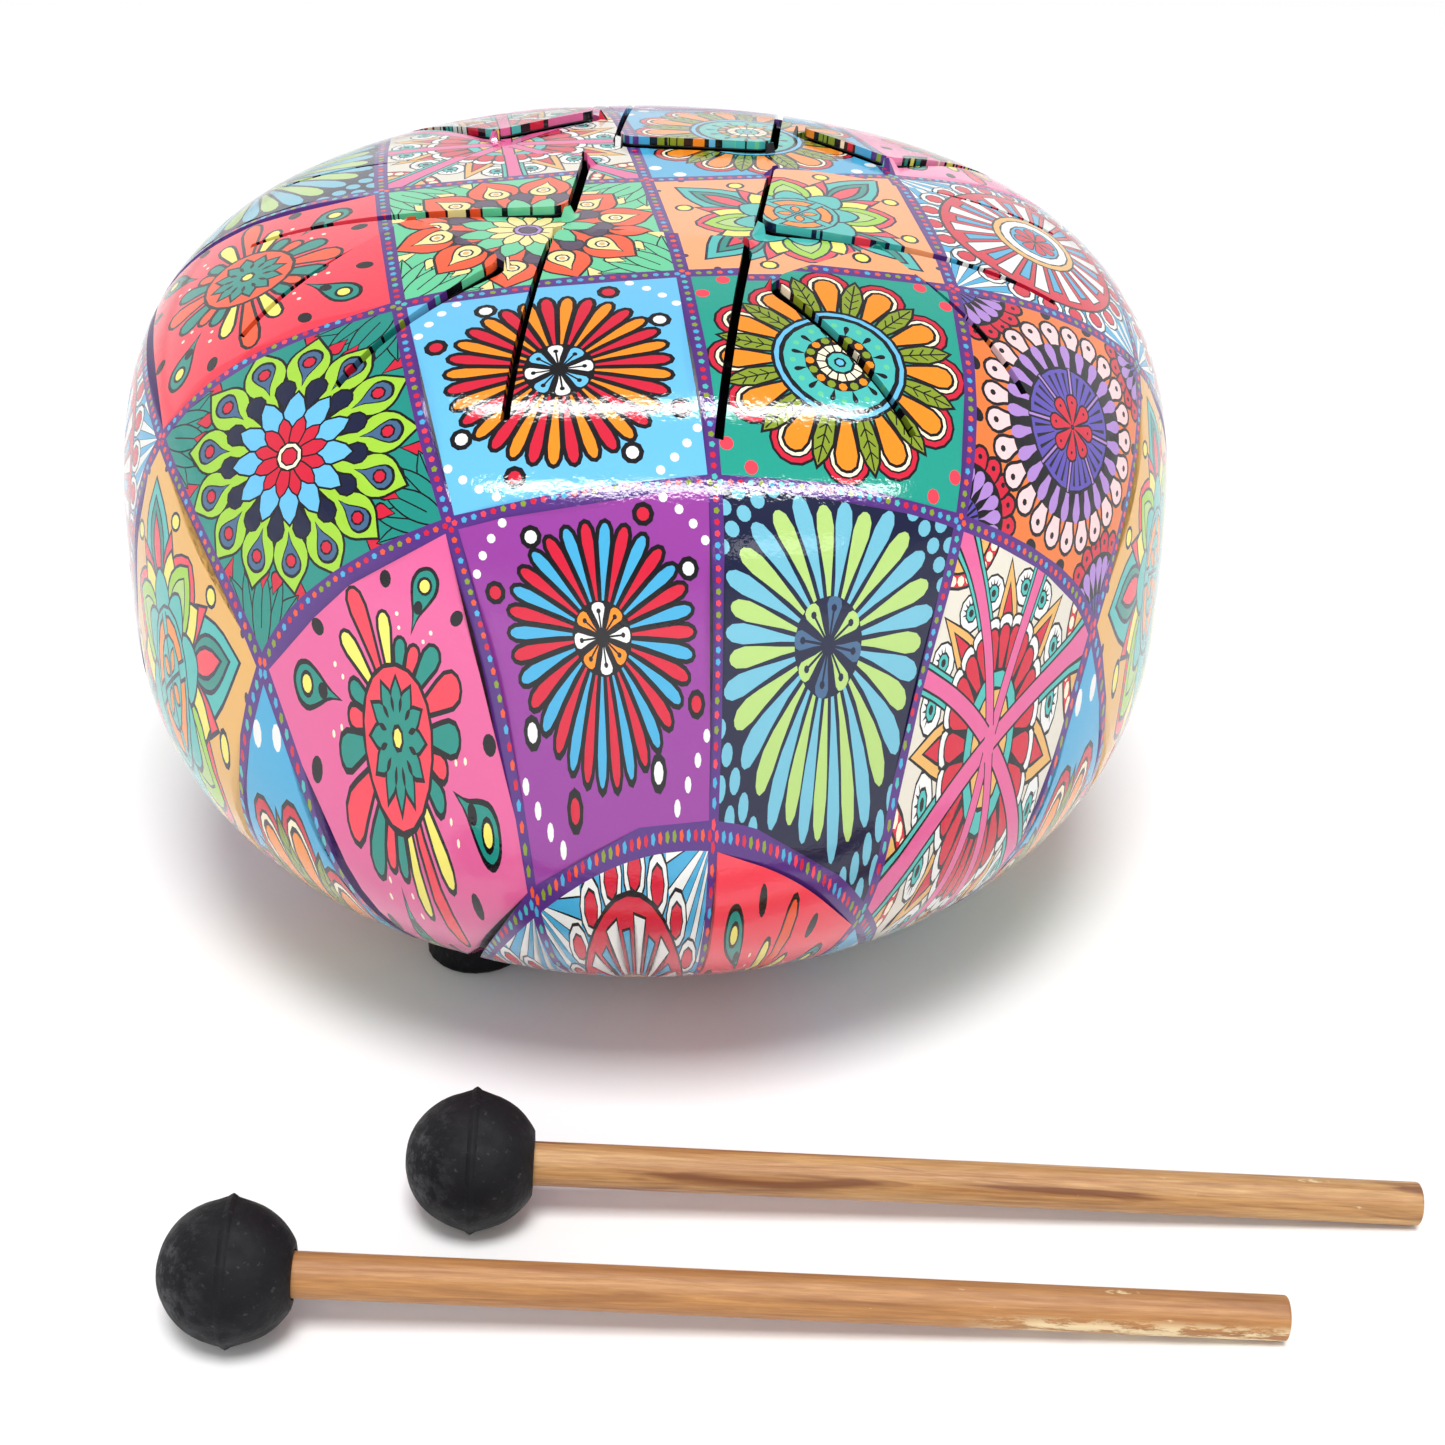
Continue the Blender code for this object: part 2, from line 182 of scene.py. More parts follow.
def film_to_sheet(s, t):
    """Distance along the profile and azimuth of film points: s runs right and t runs to the front."""
    s, t = s - FILM_CENTRE[0], t - FILM_CENTRE[1]
    rho, direction = np.hypot(s, t), np.arctan2(s, t)
    azimuth = direction + FILM_TURN
    arc = film_stretch(rho)
    far = (rho / 3) ** 2
    far = far * np.exp((1 - far**2) / 4)  # the pull fades out under the drum
    for turns, pull, swirl in zip((1, 2), FILM_PULL, FILM_SWIRL):
        wave = pull[0] * np.cos(turns * azimuth) + pull[1] * np.sin(turns * azimuth)
        arc = arc * (1 + far * wave)
        turn = swirl[0] * np.cos(turns * direction) + swirl[1] * np.sin(turns * direction)
        azimuth = azimuth + far * turn
    return arc * DRUM_RADIUS, azimuth


def sheet_to_film(arc, azimuth):
    """Film points that land on these places, by Newton steps."""
    goal = arc * np.exp(1j * azimuth)

    def lands(p):
        a, angle = film_to_sheet(p.real, p.imag)
        return a * np.exp(1j * angle)

    steps = np.linspace(0, 4.5, 200)
    rho = np.interp(arc / DRUM_RADIUS, film_stretch(steps), steps)
    turned = azimuth - FILM_TURN
    guess = complex(*FILM_CENTRE) + rho * (np.sin(turned) + 1j * np.cos(turned))
    h = 1e-5
    for _ in range(25):
        here = lands(guess)
        miss = goal - here
        by_s = (lands(guess + h) - here) / h
        by_t = (lands(guess + 1j * h) - here) / h
        det = by_s.real * by_t.imag - by_s.imag * by_t.real
        ds = (miss.real * by_t.imag - miss.imag * by_t.real) / det
        dt = (by_s.real * miss.imag - by_s.imag * miss.real) / det
        move = ds + 1j * dt
        guess = guess + move / np.maximum(1, abs(move) / 0.3)
    return guess


def slot_outline(tongue):
    """Closed plan outline of one U-shaped slot, open towards the rim."""
    azimuth, tip, root, shift, half = tongue
    out, side = heading(azimuth)
    middle, bend = half + SLOT / 2, TIP_CORNER + SLOT / 2

    def line(offset):
        width, start, radius = middle + offset, tip - SLOT / 2 - offset, bend + offset
        legs = np.linspace(root, start + radius, 26)[:-1]
        path = [(-width, u) for u in legs]
        for turn in (180, 270):
            centre = -width + radius if turn == 180 else width - radius
            for k in range(13):
                a = math.radians(turn + 7.5 * k)
                path.append((centre + radius * math.cos(a), start + radius + radius * math.sin(a)))
            if turn == 180:
                path += [(v, start) for v in np.linspace(radius - width, width - radius, 12)[1:-1]]
        return path + [(width, u) for u in legs[::-1]]

    loop = line(SLOT / 2) + line(-SLOT / 2)[::-1]
    return np.array([side * (shift + v) + out * u for v, u in loop])


def plan_to_film(points, on_dome):
    x, y = np.asarray(points).T
    return sheet_to_film(PROFILE.arc(np.hypot(x, y), on_dome), np.arctan2(x, -y))


def cut_outlines():
    """Film outlines of everything sawn or drilled through the sheet: slots and screw holes."""
    cuts = [plan_to_film(slot_outline(tongue), True) for tongue in TONGUES]
    for azimuth in FOOT_AZIMUTHS:
        centre = heading(azimuth)[0] * FOOT_CIRCLE
        turns = np.linspace(0, TAU, 25)[:-1]
        hole = [centre + SCREW_HOLE * np.array([math.cos(a), math.sin(a)]) for a in turns]
        cuts.append(plan_to_film(hole, False))
    return cuts


def round_line(arc):
    """Film outline of a circle round the drum's axis."""
    turn = np.linspace(-math.pi, math.pi, 721)[:-1]
    return sheet_to_film(np.full_like(turn, arc), turn)


# ---------------------------------------------------------------- inks and the printed squares


def srgb(red, green, blue):
    def linear(c):
        c /= 255
        return c / 12.92 if c <= 0.04045 else ((c + 0.055) / 1.055) ** 2.4

    return tuple(linear(c) for c in (red, green, blue))


INKS = {
    "black": (16, 14, 20),
    "navy": (20, 26, 58),
    "white": (234, 235, 232),
    "bone": (222, 216, 202),
    "cream": (248, 236, 205),
    "red": (208, 30, 58),
    "coral": (240, 66, 84),
    "orange": (246, 140, 32),
    "rust": (236, 86, 44),
    "yellow": (240, 228, 106),
    "butter": (242, 224, 150),
    "plum": (74, 56, 84),
    "lime": (158, 206, 60),
    "pear": (176, 208, 120),
    "olive": (132, 152, 40),
    "green": (30, 154, 136),
    "teal": (28, 138, 126),
    "mint": (98, 200, 150),
    "aqua": (72, 184, 178),
    "sky": (104, 186, 228),
    "blue": (70, 168, 212),
    "mist": (112, 184, 206),
    "slate": (66, 100, 136),
    "violet": (92, 76, 172),
    "purple": (146, 60, 152),
    "seam": (84, 46, 126),
    "lilac": (172, 132, 204),
    "blush": (246, 204, 206),
    "pink": (222, 98, 152),
    "rose": (246, 146, 186),
    "peach": (248, 164, 112),
    "amber": (228, 120, 58),
    "tan": (228, 176, 98),
}

FORMS = {  # half outlines of petals: (share of length, share of half width)
    "club": ((0, 0.12), (0.3, 0.4), (0.6, 0.8), (0.78, 1), (0.92, 0.85), (0.985, 0.42), (1, 0)),
    "leaf": ((0, 0), (0.15, 0.5), (0.35, 0.9), (0.55, 1), (0.78, 0.68), (1, 0)),
    "drop": ((0, 0), (0.3, 0.42), (0.6, 0.92), (0.78, 1), (0.92, 0.72), (1, 0)),
    "oval": ((0, 0), (0.07, 0.5), (0.25, 0.87), (0.5, 1), (0.75, 0.87), (0.93, 0.5), (1, 0)),
    "bar": ((0, 1), (1, 1)),
    "spike": ((0, 1), (0.5, 0.6), (1, 0)),
    "wedge": ((0, 0.1), (1, 1)),
    "bud": ((0, 0.35), (0.3, 0.8), (0.6, 1), (0.85, 0.62), (1, 0)),
    "spade": ((0, 0.2), (0.38, 0.26), (0.52, 0.82), (0.65, 1), (0.79, 0.84), (0.91, 0.36), (1, 0)),
    "bulb": ((0, 0.25), (0.42, 0.66), (0.6, 0.94), (0.74, 1), (0.88, 0.82), (0.97, 0.4), (1, 0)),
    "flame": ((0, 0), (0.03, 0.4), (0.13, 0.84), (0.32, 1), (0.55, 0.72), (0.8, 0.22), (1, 0)),
    "cone": ((0, 0.12), (1, 1)),
    "flare": ((0, 0.75), (0.5, 0.85), (0.7, 1), (1, 1.7)),
    "tear": ((0, 0), (0.25, 0.2), (0.5, 0.72), (0.7, 1), (0.88, 0.84), (0.97, 0.4), (1, 0)),
}
INK_NUMBER = {name: k for k, name in enumerate([*INKS, "bare"])}
SEAM_HALF = 0.0260  # half the width of the purple band between squares
SEAM_DOTS = 26
DOT_INKS = ("blue", "coral", "red", "aqua", "olive", "rust")


def ring(radius, count, turn=0.0):
    """Corner points of a many-sided outline, as complex numbers."""
    return radius * np.exp(1j * (turn + TAU * np.arange(count) / count))


STRAIGHT_FORMS = ("bar", "wedge", "spike", "cone", "flare")
SMOOTH_WIDTH = 0.046  # petals wider than this get rounder outlines: each corner is cut off,
CUT = 0.22  # this share of the way along its sides,
SHARP = 0.25  # unless the outline turns so far there that the cosine is below this


def petal(form, start, end, width, grow=0.0):
    """Outline of a petal that lies along +X from start to end, moved outward by an even margin."""
    along = np.array([a for a, _ in FORMS[form]]) * (end - start) + start
    half = np.array([w for _, w in FORMS[form]]) * width
    joined = np.concatenate([along - 1j * half, (along + 1j * half)[::-1]])
    outline = joined[np.abs(joined - np.roll(joined, 1)) > 1e-6]
    if width > SMOOTH_WIDTH and form not in STRAIGHT_FORMS:
        back, onward = np.roll(outline, 1), np.roll(outline, -1)
        bend = ((onward - outline) * np.conj(outline - back)).real
        sharp = bend < SHARP * abs(onward - outline) * abs(outline - back)
        smooth = []
        for a, p, b, tip in zip(back, outline, onward, sharp):
            smooth += [p] if tip else [(1 - CUT) * p + CUT * a, (1 - CUT) * p + CUT * b]
        outline = np.array(smooth)
    if grow:
        arriving, leaving = outline - np.roll(outline, 1), np.roll(outline, -1) - outline
        first, second = arriving / abs(arriving), leaving / abs(leaving)
        outward = -1j * (first + second) / abs(first + second)
        opening = (outward * np.conj(-1j * first)).real
        outline = outline + outward * grow / np.maximum(opening, 0.45)
    return outline


class Square:
    """One printed square: a ground ink and coloured outlines, each painted over the ones before."""

    def __init__(self, ground):
        self.ground = ground
        self.shapes = []

    def paint(self, ink, outline, at=0j, turn=0.0):
        self.shapes.append((ink, at + cmath.exp(1j * turn) * outline))

    def leaf(self, ink, form, start, end, width, turn, at=0j, edge=0.0):
        """One petal along a direction, from start to end."""
        self.paint(ink, petal(form, start, end, width, edge), at, turn)

    def disc(self, ink, radius, at=0j, sides=0):
        self.paint(ink, ring(radius, sides or max(7, int(75 * radius) + 6)), at)

    def discs(self, ink, count, radius, size, turn=0.0, sides=0):
        """A ring of discs, their inks in turn."""
        inks = (ink,) if isinstance(ink, str) else ink
        for k, place in enumerate(ring(radius, count, turn)):
            self.disc(inks[k % len(inks)], size, place, sides)

    def bands(self, *rings, at=0j, sides=0):
        """Discs one on another, largest first: (ink, radius) pairs."""
        for ink, radius in rings:
            self.disc(ink, radius, at, sides)

    def overlaid(self, ink, count, start, end, width, form, turn, edge):
        """A ring of petals that each lie over the one before, every second one on top."""
        for k in [*range(0, count, 2), *range(1, count, 2)]:
            self.leaf("black", form, start, end, width, turn + TAU * k / count, edge=edge)
            self.leaf(ink, form, start, end, width, turn + TAU * k / count)

    def petals(self, ink, count, start, end, width, form="club", turn=0.0, edge=0.0, edge_ink="black"):
        """A ring of petals, their inks in turn, with a dark edge drawn behind them all."""
        inks = (ink,) if isinstance(ink, str) else ink
        turns = [turn + TAU * k / count for k in range(count)]
        if edge:
            for angle in turns:
                self.leaf(edge_ink, form, start, end, width, angle, edge=edge)
        for k, angle in enumerate(turns):
            self.leaf(inks[k % len(inks)], form, start, end, width, angle)

    def corners(self, draw):
        """Draw the same thing in each corner: draw(place of the corner, direction to the middle)."""
        for turn in (45, 135, 225, 315):
            a = math.radians(turn)
            draw(math.sqrt(0.5) * cmath.exp(1j * a), a + math.pi)


def dotted_corners(sq, ink, start, step, far, size):
    """Short arcs of dots, four to a corner."""
    for k in range(4):
        for n in range(4):
            sq.disc(ink, size, cmath.rect(far, math.radians(90 * k + start + step * n)), 9)


def sunflower(ground, petal_inks, loop_inks, dot_inks):
    sq = Square(ground)
    sq.petals(petal_inks, 32, 0.10, 0.392, 0.0215, edge=0.0155)
    sq.disc("black", 0.128)
    sq.petals(loop_inks, 8, 0.030, 0.120, 0.027)
    sq.petals("black", 8, 0.03, 0.085, 0.0035, "bar")
    sq.discs("black", 8, 0.090, 0.0095)
    for k in range(4):
        for side in (-1, 1):
            place = cmath.rect(0.447 + 0.012 * side, math.radians(45 + 90 * k + 16 * side))
            sq.disc("black", 0.043, place)
            sq.disc(dot_inks[side > 0], 0.024, place, 10)
    dotted_corners(sq, "white", 34, 7.4, 0.545, 0.017)
    return sq


def leafy_flower(ground, ring_ink, spot_ink):
    sq = Square(ground)
    for k in range(12):
        place = cmath.rect(0.385, TAU * k / 12)
        rings = (("black", 0.098), ("red", 0.088), ("black", 0.070), ("cream", 0.063), ("black", 0.047))
        sq.bands(*rings, at=place, sides=14)
    sq.petals("olive", 12, 0.2, 0.435, 0.036, "bud", TAU / 24, edge=0.010)
    for k in range(12):
        turn = TAU * (k + 0.5) / 12
        sq.leaf("black", "bar", 0.24, 0.425, 0.003, turn)
        for n in range(3):
            for side in (-1, 1):
                vein = petal("bar", 0, 0.036, 0.0026) * cmath.exp(0.75j * side)
                sq.paint("black", vein, cmath.rect(0.275 + 0.042 * n, turn), turn)
    sq.petals("orange", 12, 0.18, 0.425, 0.042, edge=0.011)
    sq.bands(("black", 0.250), ("sky", 0.238), ("black", 0.222), (ring_ink, 0.205))
    sq.discs("mint", 12, 0.172, 0.012)
    sq.petals("black", 12, 0.125, 0.178, 0.010, "drop", TAU / 24)
    sq.disc("black", 0.130)
    sq.discs(("orange", "olive"), 16, 0.110, 0.0165)
    sq.bands(("black", 0.095), ("cream", 0.086))
    sq.petals("black", 14, 0.05, 0.087, 0.003, "bar")
    sq.bands(("black", 0.056), ("aqua", 0.046), ("black", 0.024), ("sky", 0.015))
    for k in range(4):
        for spread in (-6, 6):
            sq.disc(spot_ink, 0.026, cmath.rect(0.575, math.radians(45 + 90 * k + spread)), 10)
    return sq


def peacock(ground, petal_ink, count, eye_form, eye_inks, bloom_inks, gap_ink, bud_ink):
    sq = Square(ground)
    for k in range(8):
        turn = TAU * (k + 0.5) / 8
        sq.leaf("black", "drop", 0.43, 0.545, 0.032, turn)
        sq.leaf(bud_ink, "drop", 0.44, 0.537, 0.024, turn)

    def fan(place, turn):
        for n in (-2, 2, -1, 1, 0):
            sq.leaf("black", "leaf", -0.01, 0.305, 0.056, turn + 0.33 * n, place)
            sq.leaf(ground, "leaf", 0.0, 0.295, 0.049, turn + 0.33 * n, place)
            sq.leaf("black", "bar", 0.10, 0.29, 0.0028, turn + 0.33 * n, place)
        for n in (-1, 1, 0):
            sq.leaf("black", "drop", 0.215, 0.305, 0.034, turn + 0.26 * n, place)
            sq.leaf(bud_ink, "drop", 0.222, 0.298, 0.026, turn + 0.26 * n, place)

    sq.corners(fan)
    sq.disc(gap_ink, 0.335)
    sq.petals(petal_ink, count, 0.13, 0.492, 1.15 / count, "spade", TAU / count / 2, edge=0.010)
    sq.petals(gap_ink, count, 0.17, 0.310, 0.50 / count, "tear", 0, edge=0.008)
    sq.petals("black", count, 0.275, 0.445, 0.71 / count, eye_form, TAU / count / 2)
    sq.petals(eye_inks[0], count, 0.287, 0.433, 0.59 / count, eye_form, TAU / count / 2)
    middle = 0.383 if eye_form == "tear" else 0.343
    for ink, size in (("black", 0.029), (eye_inks[1], 0.0215), (eye_inks[2], 0.0125)):
        sq.discs(ink, count, middle, size, TAU / count / 2)
    sq.disc(gap_ink, 0.16)
    sq.overlaid(bloom_inks[0], 12, 0.06, 0.252, 0.0420, "bud", 0.1, 0.008)
    sq.overlaid(bloom_inks[1], 12, 0.03, 0.152, 0.0265, "bud", 0.1 + TAU / 24, 0.0065)
    sq.bands(("black", 0.058), (bloom_inks[2], 0.050), ("black", 0.038), (bloom_inks[3], 0.031))
    return sq


def teal_flower(ground, petal_ink):
    sq = Square(ground)
    tall = ((-36, 0.250, 0.022, "teal"), (34, 0.245, 0.022, "teal"), (-20, 0.330, 0.024, "yellow"))
    tall += ((15, 0.345, 0.025, "yellow"), (-3, 0.440, 0.032, petal_ink))
    broad = ((-40, 0.240, 0.021, petal_ink), (38, 0.250, 0.022, petal_ink), (-24, 0.300, 0.032, "teal"))
    broad += ((22, 0.305, 0.032, "teal"), (-1, 0.335, 0.042, petal_ink))
    for k in range(4):
        for angle, reach, width, ink in (broad, tall)[k % 2]:
            way = TAU * k / 4 + math.radians(angle)
            sq.leaf("black", "club", 0.1, reach, width, way, edge=0.0125)
            sq.leaf(ink, "club", 0.1, reach, width, way)
    sq.bands(("black", 0.178), (petal_ink, 0.165))
    sq.petals("teal", 12, 0.01, 0.132, 0.026, "leaf", 0, 0.009)
    sq.petals("black", 12, 0.055, 0.095, 0.0075, "leaf", TAU / 24)
    sq.bands(("black", 0.030), ("yellow", 0.020))
    for k in range(4):
        slant = TAU * (k + 0.5) / 4
        sq.leaf("black", "tear", 0.275, 0.535, 0.061, slant)
        sq.leaf("teal", "tear", 0.300, 0.520, 0.047, slant)
        sq.leaf("black", "oval", 0.425, 0.495, 0.032, slant)
        sq.leaf("yellow", "oval", 0.436, 0.484, 0.021, slant)
        sq.leaf("black", "oval", 0.352, 0.402, 0.019, slant)
        for side in (-1, 1):
            sq.leaf("black", "oval", 0.415, 0.480, 0.024, slant + 0.37 * side)
            sq.disc("cream", 0.0075, cmath.rect(0.285, slant + 0.20 * side), 6)
            sq.disc("cream", 0.0085, cmath.rect(0.330, slant + 0.24 * side), 6)
    return sq


def star(ground):
    sq = Square(ground)
    edge_ink, diagonal = "navy", TAU / 8
    for ink, count, start, end, width, form, turn in (
        ("aqua", 4, 0.05, 0.560, 0.112, "leaf", diagonal),
        ("teal", 4, 0.20, 0.490, 0.058, "leaf", diagonal),
        ("coral", 4, 0.22, 0.430, 0.028, "leaf", diagonal),
        ("coral", 4, 0.05, 0.385, 0.048, "leaf", diagonal - 0.34),
        ("coral", 4, 0.05, 0.385, 0.048, "leaf", diagonal + 0.34),
        ("coral", 4, 0.05, 0.385, 0.120, "bud", 0),
        ("yellow", 8, 0.05, 0.325, 0.058, "bud", TAU / 16),
        ("lime", 4, 0.05, 0.350, 0.088, "bud", 0),
        ("pear", 4, 0.05, 0.300, 0.055, "bud", 0),
        ("aqua", 4, 0.05, 0.262, 0.070, "bud", diagonal),
        ("aqua", 4, 0.05, 0.235, 0.062, "bud", 0),
    ):
        sq.petals(ink, count, start, end, width, form, turn, 0.006 if ink == "pear" else 0.010, edge_ink)
    sq.bands((edge_ink, 0.162), ("aqua", 0.153), (edge_ink, 0.138), ("orange", 0.129))
    sq.petals(edge_ink, 4, 0.07, 0.142, 0.022, "bar", diagonal)
    sq.petals("aqua", 4, 0.07, 0.146, 0.014, "bar", diagonal)
    sq.bands((edge_ink, 0.094), ("aqua", 0.086))
    sq.petals(edge_ink, 4, 0.0, 0.088, 0.0045, "bar", diagonal)
    sq.petals("orange", 4, 0.02, 0.072, 0.015, "leaf", 0, 0.006, edge_ink)
    for k in range(4):
        for side in (-1, 1):
            place = cmath.rect(0.435, TAU * k / 4 + 0.40 * side)
            sq.bands((edge_ink, 0.037), ("yellow", 0.0255), at=place, sides=11)
    dotted_corners(sq, "plum", 24, 14, 0.600, 0.0135)
    return sq


def wheel():
    sq = Square("blue")

    def stripes(place, turn):
        for n in range(-4, 5):
            sq.leaf(("white", "blue")[n % 2], "wedge", 0.0, 0.26, 0.022, turn + 0.175 * n, place)
            sq.leaf("black", "bar", 0.0, 0.27, 0.0032, turn + 0.175 * (n + 0.5), place)

    sq.corners(stripes)
    beads = (("black", 0.066, 11), ("white", 0.058, 11), ("black", 0.042, 8), ("red", 0.035, 8))
    for ink, size, sides in beads:
        sq.discs(ink, 22, 0.462, size, 0, sides)
    sq.bands(("black", 0.428), ("red", 0.417))
    sq.petals("white", 14, 0.130, 0.380, 0.032, "cone", 0, 0.0065)
    sq.petals("blue", 14, 0.130, 0.350, 0.019, "cone", TAU / 28, 0.0065)
    sq.bands(("black", 0.202), ("tan", 0.193), ("black", 0.167), ("white", 0.159))
    sq.bands(("black", 0.122), ("blue", 0.114))
    sq.petals("red", 8, 0.012, 0.098, 0.023, "club", 0, 0.006)
    sq.disc("black", 0.014)
    return sq


def scallop_flower():
    sq = Square("amber")

    def corner(place, turn):
        for n in range(-3, 4):
            sq.leaf("black", "club", 0.02, 0.290, 0.044, turn + 0.29 * n, place)
            sq.leaf("red", "club", 0.02, 0.278, 0.034, turn + 0.29 * n, place)
            sq.disc("black", 0.010, place + cmath.rect(0.245, turn + 0.29 * n), 7)
        sq.disc("black", 0.215, place, 24)
        for n in range(-3, 4):
            sq.leaf("lilac", "tear", 0.09, 0.202, 0.024, turn + 0.29 * (n + 0.5), place)
        sq.disc("violet", 0.090, place, 20)
        for n in range(-3, 4):
            sq.leaf("black", "bar", 0.02, 0.088, 0.0045, turn + 0.29 * n, place)

    sq.corners(corner)
    sq.petals("blush", 24, 0.30, 0.440, 0.040, "bulb", 0, 0.0125)
    sq.discs("black", 24, 0.402, 0.0125)
    sq.disc("black", 0.338)
    sq.petals("lilac", 24, 0.215, 0.342, 0.024, "bulb", TAU / 48)
    sq.bands(("black", 0.240), ("violet", 0.228))
    sq.petals("black", 32, 0.11, 0.212, 0.0070, "wedge", TAU / 64)
    sq.petals("black", 8, 0.08, 0.240, 0.0125, "bar", 0.12)
    sq.petals("lilac", 8, 0.10, 0.236, 0.0045, "bar", 0.12)
    sq.petals("red", 8, 0.01, 0.122, 0.027, "club", 0.12, 0.008)
    sq.discs("black", 8, 0.095, 0.0065, 0.12)
    for k in range(8):
        place = cmath.rect(0.485, TAU * (k + 0.5) / 8 + (0.17 if k % 2 else -0.17))
        sq.leaf("black", "oval", -0.032, 0.032, 0.024, 0.6 * k, place)
    return sq


def sunburst():
    sq = Square("navy")
    inks = ("mist", "pear")
    for k in range(32):
        a = TAU * k / 32
        edge = 0.468 / max(abs(math.cos(a)), abs(math.sin(a)))
        reach = min(edge, 0.515) - 0.02 * (k % 2)
        sq.leaf(inks[k % 2], "club", 0.120, reach, 0.0345, a)
    for k in range(4):
        for far, first in ((0.560, -2), (0.6275, -0.5)):
            for n in range(round(-2 * first) + 1):
                a = math.radians(45 + 90 * k + 7.2 * (first + n))
                sq.leaf("mist", "oval", -0.030, 0.030, 0.026, a, cmath.rect(far, a))
    sq.disc("navy", 0.160)
    sq.petals(("slate", "pear"), 8, 0.030, 0.160, 0.033)
    sq.petals("navy", 8, 0.02, 0.118, 0.0045, "bar")
    sq.discs("navy", 8, 0.122, 0.013)
    return sq


def ribbons():
    """Pink ribbons that cross in the middle, over a round flower, pointed leaves and small eyes."""
    sq = Square("bone")

    def beads(place, turn):
        sq.bands(("black", 0.225), ("red", 0.215), ("black", 0.175), at=place, sides=30)
        for n in range(-3, 4):
            sq.disc("cream", 0.018, place + cmath.rect(0.195, turn + 0.21 * n), 7)
            sq.leaf("tan", "spike", 0.165, 0.06, 0.018, turn + 0.21 * n, place)
        sq.bands(("black", 0.085), ("red", 0.075), ("black", 0.045), ("cream", 0.036), at=place, sides=18)

    sq.corners(beads)
    for k in range(8):
        sector = TAU * (k + 0.5) / 8
        for side in (-1, 1):
            eye = cmath.rect(0.405, sector + 0.235 * side)
            sq.bands(("black", 0.066), ("white", 0.058), at=eye, sides=11)
            for n in range(5):
                sq.leaf("black", "spike", 0.02, 0.050, 0.005, sector + 0.45 * (n - 2), eye)
            sq.bands(("black", 0.033), ("aqua", 0.026), ("black", 0.013), at=eye, sides=8)
        for ink, start, end, wide in (("black", 0.22, 0.505, 0.084), ("tan", 0.23, 0.488, 0.073)):
            sq.leaf(ink, "spike", start, end, wide, sector)
        for ink, start, end, wide in (("black", 0.25, 0.425, 0.046), ("red", 0.25, 0.408, 0.037)):
            sq.leaf(ink, "spike", start, end, wide, sector)
    for k in range(8):
        for ink, wide in (("black", 0.054), ("aqua", 0.047), ("black", 0.034)):
            sq.leaf(ink, "flare", 0.05, 0.75, wide, TAU * k / 8)
    sq.disc("black", 0.272)
    sq.petals("white", 24, 0.20, 0.318, 0.036, "club", TAU / 48, 0.008)
    sq.petals("red", 24, 0.12, 0.285, 0.029, "club", TAU / 48, 0.008)
    sq.bands(("black", 0.168), ("aqua", 0.159), ("black", 0.122), ("tan", 0.114), ("black", 0.075))
    for k in range(8):
        for ink, wide in (("black", 0.034), ("pink", 0.0265)):
            sq.leaf(ink, "flare", 0.0, 0.75, wide, TAU * k / 8)
    sq.disc("pink", 0.038)
    return sq


LIME_EYES, LIME_BLOOM = ("slate", "red", "red"), ("sky", "red", "cream", "red")
ORANGE_EYES, ORANGE_BLOOM = ("butter", "cream", "tan"), ("mint", "butter", "lilac", "plum")
MOTIFS = {
    "blue_sun": sunflower("sky", ("red", "orange"), ("white", "sky"), ("white", "red")),
    "purple_sun": sunflower("purple", ("red", "blue"), ("white", "orange"), ("white", "red")),
    "green_leafy": leafy_flower("green", "aqua", "coral"),
    "blue_leafy": leafy_flower("blue", "aqua", "white"),
    "lime_peacock": peacock("teal", "lime", 14, "tear", LIME_EYES, LIME_BLOOM, "navy", "red"),
    "orange_peacock": peacock("mint", "rust", 12, "flame", ORANGE_EYES, ORANGE_BLOOM, "plum", "butter"),
    "red_teal": teal_flower("coral", "rust"),
    "pink_teal": teal_flower("pink", "coral"),
    "rose_teal": teal_flower("rose", "coral"),
    "peach_star": star("peach"),
    "tan_star": star("tan"),
    "wheel": wheel(),
    "scallops": scallop_flower(),
    "sunburst": sunburst(),
    "ribbons": ribbons(),
}
ROWS = {  # five squares that repeat round the film, the first one starting at the dome's middle
    -4: "wheel red_teal tan_star sunburst blue_sun",
    -3: "tan_star lime_peacock blue_sun green_leafy scallops",
    -2: "purple_sun sunburst ribbons blue_leafy pink_teal",
    -1: "blue_leafy rose_teal lime_peacock sunburst ribbons",
    0: "peach_star wheel wheel red_teal orange_peacock",
    1: "green_leafy scallops tan_star lime_peacock blue_sun",
    2: "sunburst ribbons blue_leafy pink_teal purple_sun",
    3: "red_teal blue_sun green_leafy wheel wheel",
    4: "purple_sun peach_star ribbons scallops lime_peacock",
}
COLUMNS = range(-5, 5)
BORDER = 0.488  # motifs are clipped here, under the seam bands
RIM_STEPS = 26  # mesh points along the edge of a square
GRIDS = ((3.4, 16), (9.0, 30))  # mesh points across a square, out to this many squares from the middle
NEARBY = 0.6  # an outline this near to a square's middle may lie in it
FLAT_GRAIN = 1e-6  # drawing points nearer than this are one point
INNER_GRID = (6 * MM, 8 * MM)  # mesh size of the sheet's inside, along the profile and round it
FILM_REACH = 4.4  # squares further from the middle than this never show
JOIN = 8e-5  # film points nearer than this are one point
LIP_DEPTH = 1.5 * MM  # how far the print is carried down a sawn edge


